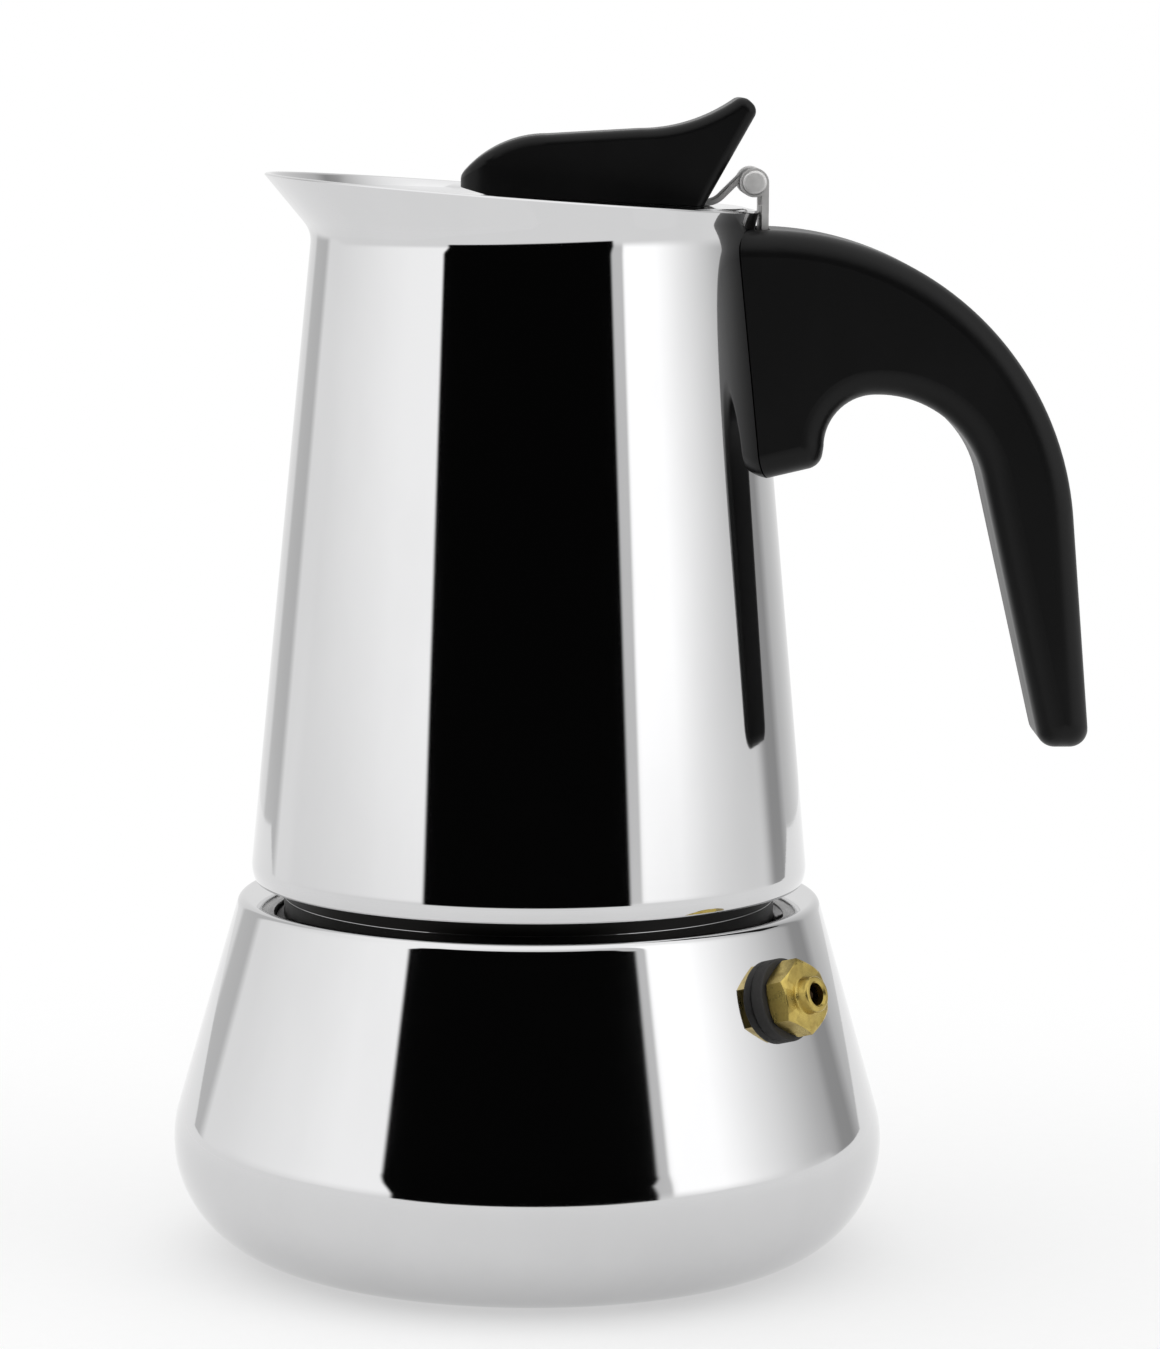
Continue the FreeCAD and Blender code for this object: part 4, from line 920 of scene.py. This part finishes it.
class MOKA_OT_hinge(bpy.types.Operator):
    """Bend the lid's strap round the pin, make the pin and finish its bracket"""
    bl_idname = "moka.hinge"
    bl_label = "Lid hinge"

    def execute(self, context):
        sizes, lid = context.scene.moka_hinge, context.scene.moka_lid
        axis = Vector(sizes.axis)
        middle = sizes.barrel - sizes.sheet / 2
        lean = math.degrees(sizes.strap_lean)

        def lid_top(x):
            return lid.height - x * math.tan(lid.tilt) + sizes.sheet / 2 + sizes.strap_gap

        knuckle_end = -205
        knuckle = bend((axis.x, axis.z), middle, 90 + lean, knuckle_end, 40)
        start = Vector(knuckle[0])
        along = Vector((math.cos(sizes.strap_lean), math.sin(sizes.strap_lean)))
        drop = (start.y - lid_top(start.x)) / (along.y + math.tan(lid.tilt) * along.x)
        corner = start - along * drop
        foot = Vector((sizes.strap_foot, lid_top(sizes.strap_foot)))
        toe = corner.lerp(foot, sizes.strap_bend / (corner - foot).length)
        rise = corner.lerp(start, min(0.5, sizes.strap_bend / (corner - start).length))
        path = [tuple(point) for point in [foot, toe] + soft_corner(toe, corner, rise, 6)] + knuckle
        skin = Skin()
        skin.sheet(thicken(path, sizes.sheet), sizes.leaf_half)
        leaf = add_piece(context, "lid_strap", skin.mesh("lid_strap"), "lid", "bent_steel",
                         ["lid_hinge_leaf"])
        soften(leaf, sizes.strap_edge)

        dome = sizes.pin_head * 0.28
        head = bend((sizes.pin_head - dome, sizes.pin_half - dome), dome, 0, 90, 5)
        head_low = sizes.pin_half - sizes.head_thick
        outline = [(0.0, sizes.pin_half)] + head[::-1] + [(sizes.pin_head, head_low), (sizes.pin, head_low)]
        outline += [(reach, -height) for reach, height in reversed(outline)]
        skin = Skin()
        skin.turned(outline, PIN_AROUND)
        place = Matrix.Translation(axis) @ Matrix.Rotation(math.radians(-90), 4, "X")
        add_piece(context, "hinge_rivet", skin.mesh("hinge_rivet"), "collector", "bent_steel",
                  ["hinge_pin"], place)
        coat_node(context, "hinge_bracket", "bent_steel")
        return {"FINISHED"}


class MOKA_OT_grips(bpy.types.Operator):
    """Finish the moulded handle and lid knob, and the steel that holds them"""
    bl_idname = "moka.grips"
    bl_label = "Handle and knob"

    def execute(self, context):
        for name in ("handle", "lid_knob"):
            coat_node(context, name, "black_plastic")
        for name in ("knob_screw", "handle_screw", "handle_bracket"):
            coat_node(context, name, "bent_steel")
        return {"FINISHED"}


class MOKA_OT_inside(bpy.types.Operator):
    """Finish the basket, the seal, the thread ring, the floor and the chimney"""
    bl_idname = "moka.inside"
    bl_label = "Inside"

    def execute(self, context):
        steel = ("basket_cup", "basket_stem", "basket_sieve", "filter_plate", "thread_ring",
                 "collector_floor", "chimney", "chimney_cap")
        for name in steel:
            coat_node(context, name, "plain_steel")
        coat_node(context, "gasket", "pale_silicone")
        return {"FINISHED"}


# Light around the pot by compass bearing in degrees, 0 toward the camera and 90 toward the handle.
WALL_LIGHT = [
    (-180, 0.9), (-152, 0.88), (-148, 0.64), (-133, 0.64), (-128, 1.02), (-118, 1.04), (-95, 1.16),
    (-65, 1.3), (-46, 1.32), (40, 0.75), (46.5, 0.75), (48, 1.6), (66, 1.58), (80, 1.26), (96, 0.95),
    (109, 0.7), (118, 0.56), (123, 0.38), (131, 0.36), (138, 0.62), (145, 0.68), (158, 0.78), (180, 0.9),
]
# A ramp holds values up to one, so it keeps the light and the bearings as shares of these.
WALL_LIGHT_TOP = 2.0
FLAG_SIDE_TOP = 90.0
# Bearings of the dark flag's sides at heights in degrees above level.
FLAG_SIDES = [(0.0, -43.4, 42.0), (3.5, -44.5, 41.5), (8.5, -46.6, 40.8), (14.0, -48.0, 43.0),
              (19.4, -48.0, 43.0), (21.6, -44.8, 37.4), (30.0, -36.0, 28.0)]
FLAG_TOP = 29.0
FLAG_BOTTOM = -7.0
FLAG_SOFT = 1.0
FLAG_LIGHT = (0.002, 0.002, 0.002)
# Degrees above level over which the walls pass from the far floor and into the ceiling.
WALLS_FOOT = (-6.0, 3.0)
WALLS_HEAD = (35.0, 62.0)
FAR_FLOOR_LIGHT = (0.98, 0.98, 0.98)
CEILING_LIGHT = (1.3, 1.3, 1.3)
# Behind these bearings the walls reach further down.
BEHIND = (112.0, 124.0)
BEHIND_DROP = 7.0


def paint_world(world):
    """White studio walls and ceiling with a dark flag in front, shown white to the camera itself."""
    world.use_nodes = True
    paint = Paint(world.node_tree)
    way = paint.parts(paint.add("ShaderNodeTexCoord")["Generated"])
    bearing = paint.degrees("ARCTAN2", way["X"], way["Y"] * -1.0)
    height = paint.degrees("ARCSINE", way["Z"])
    stops = [((degrees + 180) / 360, light / WALL_LIGHT_TOP) for degrees, light in WALL_LIGHT]
    walls = paint.add("ShaderNodeValToRGB", {"stops": stops}, {"Fac": bearing / 360.0 + 0.5})["Color"]
    walls = paint.vector("MULTIPLY", walls, (WALL_LIGHT_TOP,) * 3)
    behind = paint.add("ShaderNodeMath", {"operation": "ABSOLUTE"}, {0: bearing})["Value"]
    raised = height + paint.span(behind, *BEHIND) * BEHIND_DROP
    walls = paint.blend(paint.span(raised, *WALLS_FOOT), FAR_FLOOR_LIGHT, walls)
    room = paint.blend(paint.span(height, *WALLS_HEAD), walls, CEILING_LIGHT)

    flag_high = FLAG_SIDES[-1][0]
    sides = [(up / flag_high, (-left / FLAG_SIDE_TOP, right / FLAG_SIDE_TOP, 0.0))
             for up, left, right in FLAG_SIDES]
    edges = paint.add("ShaderNodeValToRGB", {"stops": sides}, {"Fac": height / flag_high})["Color"]
    edges = paint.add("ShaderNodeSeparateColor", None, {"Color": edges})
    insides = [bearing + edges["Red"] * FLAG_SIDE_TOP, edges["Green"] * FLAG_SIDE_TOP - bearing]
    insides += [FLAG_TOP - height, height - FLAG_BOTTOM]
    flag = 1.0
    for inside in insides:
        flag = flag * paint.span(inside, -FLAG_SOFT, FLAG_SOFT)
    room = paint.blend(flag, room, FLAG_LIGHT)

    seen = paint.add("ShaderNodeLightPath")["Is Camera Ray"]
    room = paint.blend(seen, room, (1.0, 1.0, 1.0))
    light = paint.add("ShaderNodeBackground", None, {"Color": room, "Strength": 1.0})["Background"]
    paint.add("ShaderNodeOutputWorld", None, {"Surface": light})


def floor_finish(stage):
    """A white floor that keeps the pot's shadow and fades into the white around it."""
    material, paint = new_paint("moka_floor")
    tooth = paint.noise(paint.place(), 400.0, 3.0)
    tint = paint.blend(paint.span(tooth, 0.2, 0.8), tuple(stage.floor), shade(stage.floor, 0.985))
    matte = paint.add("ShaderNodeBsdfDiffuse", None, {"Color": tint})["BSDF"]
    lift = paint.add("ShaderNodeEmission", None, {"Strength": stage.floor_lift})["Emission"]
    bright = paint.add("ShaderNodeAddShader", None, {0: matte, 1: lift})["Shader"]
    away = paint.vector("LENGTH", paint.place(), result="Value")
    white = paint.add("ShaderNodeEmission")["Emission"]
    faded = paint.span(away, stage.floor_front / 2, stage.floor_front)
    bright = paint.add("ShaderNodeMixShader", None, {0: faded, 1: bright, 2: white})["Shader"]
    path = paint.add("ShaderNodeLightPath")
    seen = path["Is Camera Ray"] + path["Is Glossy Ray"] + path["Is Transmission Ray"]
    shader = paint.add("ShaderNodeMixShader", None, {0: seen, 1: matte, 2: bright})["Shader"]
    paint.add("ShaderNodeOutputMaterial", None, {"Surface": shader})
    return material


class MOKA_OT_stage(bpy.types.Operator):
    """Set the white floor, the studio light and the camera"""
    bl_idname = "moka.stage"
    bl_label = "Stage"

    def execute(self, context):
        scene = context.scene
        stage = scene.moka_stage
        half, front = stage.floor_half, stage.floor_front
        mesh = bpy.data.meshes.new("floor")
        corners = [(-half, -front, 0.0), (half, -front, 0.0), (half, half, 0.0), (-half, half, 0.0)]
        mesh.from_pydata(corners, [], [(0, 1, 2, 3)])
        mesh.materials.append(floor_finish(stage))
        floor = bpy.data.objects.new("floor", mesh)
        scene.collection.objects.link(floor)

        if scene.world is None:
            scene.world = bpy.data.worlds.new("studio")
        paint_world(scene.world)

        lens = bpy.data.cameras.new("camera")
        lens.sensor_fit = "VERTICAL"
        lens.sensor_height = 36.0
        lens.lens = stage.lens
        lens.shift_x = stage.shift
        lens.clip_start = 0.01
        camera = bpy.data.objects.new("camera", lens)
        scene.collection.objects.link(camera)
        camera.matrix_world = (
            Matrix.Translation((0.0, -stage.camera_back, stage.camera_height))
            @ Matrix.Rotation(math.radians(90) - stage.camera_dip, 4, "X")
            @ Matrix.Rotation(stage.camera_roll, 4, "Z"))
        scene.camera = camera
        scene.view_settings.view_transform = "Standard"
        return {"FINISHED"}


OPERATORS = (MOKA_OT_boiler, MOKA_OT_valve, MOKA_OT_collector, MOKA_OT_lid, MOKA_OT_hinge, MOKA_OT_grips,
             MOKA_OT_inside, MOKA_OT_stage)
GROUPS = {
    "moka_boiler": BoilerSizes,
    "moka_collector": CollectorSizes,
    "moka_lid": LidSizes,
    "moka_hinge": HingeSizes,
    "moka_valve": ValveSizes,
    "moka_colours": PotColours,
    "moka_stage": StageSizes,
}


class MOKA_PT_pot(bpy.types.Panel):
    """Buttons for each piece of the pot"""
    bl_idname = "MOKA_PT_pot"
    bl_label = "Moka pot"
    bl_space_type = "VIEW_3D"
    bl_region_type = "UI"
    bl_category = "Moka pot"

    def draw(self, context):
        for operator in OPERATORS:
            self.layout.operator(operator.bl_idname)
        for name, group in GROUPS.items():
            box = self.layout.box()
            box.label(text=name.replace("moka_", "").capitalize())
            for key in group.__annotations__:
                box.prop(getattr(context.scene, name), key)


CLASSES = (*GROUPS.values(), *OPERATORS, MOKA_PT_pot)


def register():
    for item in CLASSES:
        bpy.utils.register_class(item)
    for name, group in GROUPS.items():
        setattr(bpy.types.Scene, name, PointerProperty(type=group))


def unregister():
    for name in GROUPS:
        delattr(bpy.types.Scene, name)
    for item in reversed(CLASSES):
        bpy.utils.unregister_class(item)


def main():
    register()
    bpy.ops.moka.boiler()
    bpy.ops.moka.valve()
    bpy.ops.moka.collector()
    bpy.ops.moka.lid()
    bpy.ops.moka.hinge()
    bpy.ops.moka.grips()
    bpy.ops.moka.inside()
    bpy.ops.moka.stage()


if __name__ == "__main__":
    main()
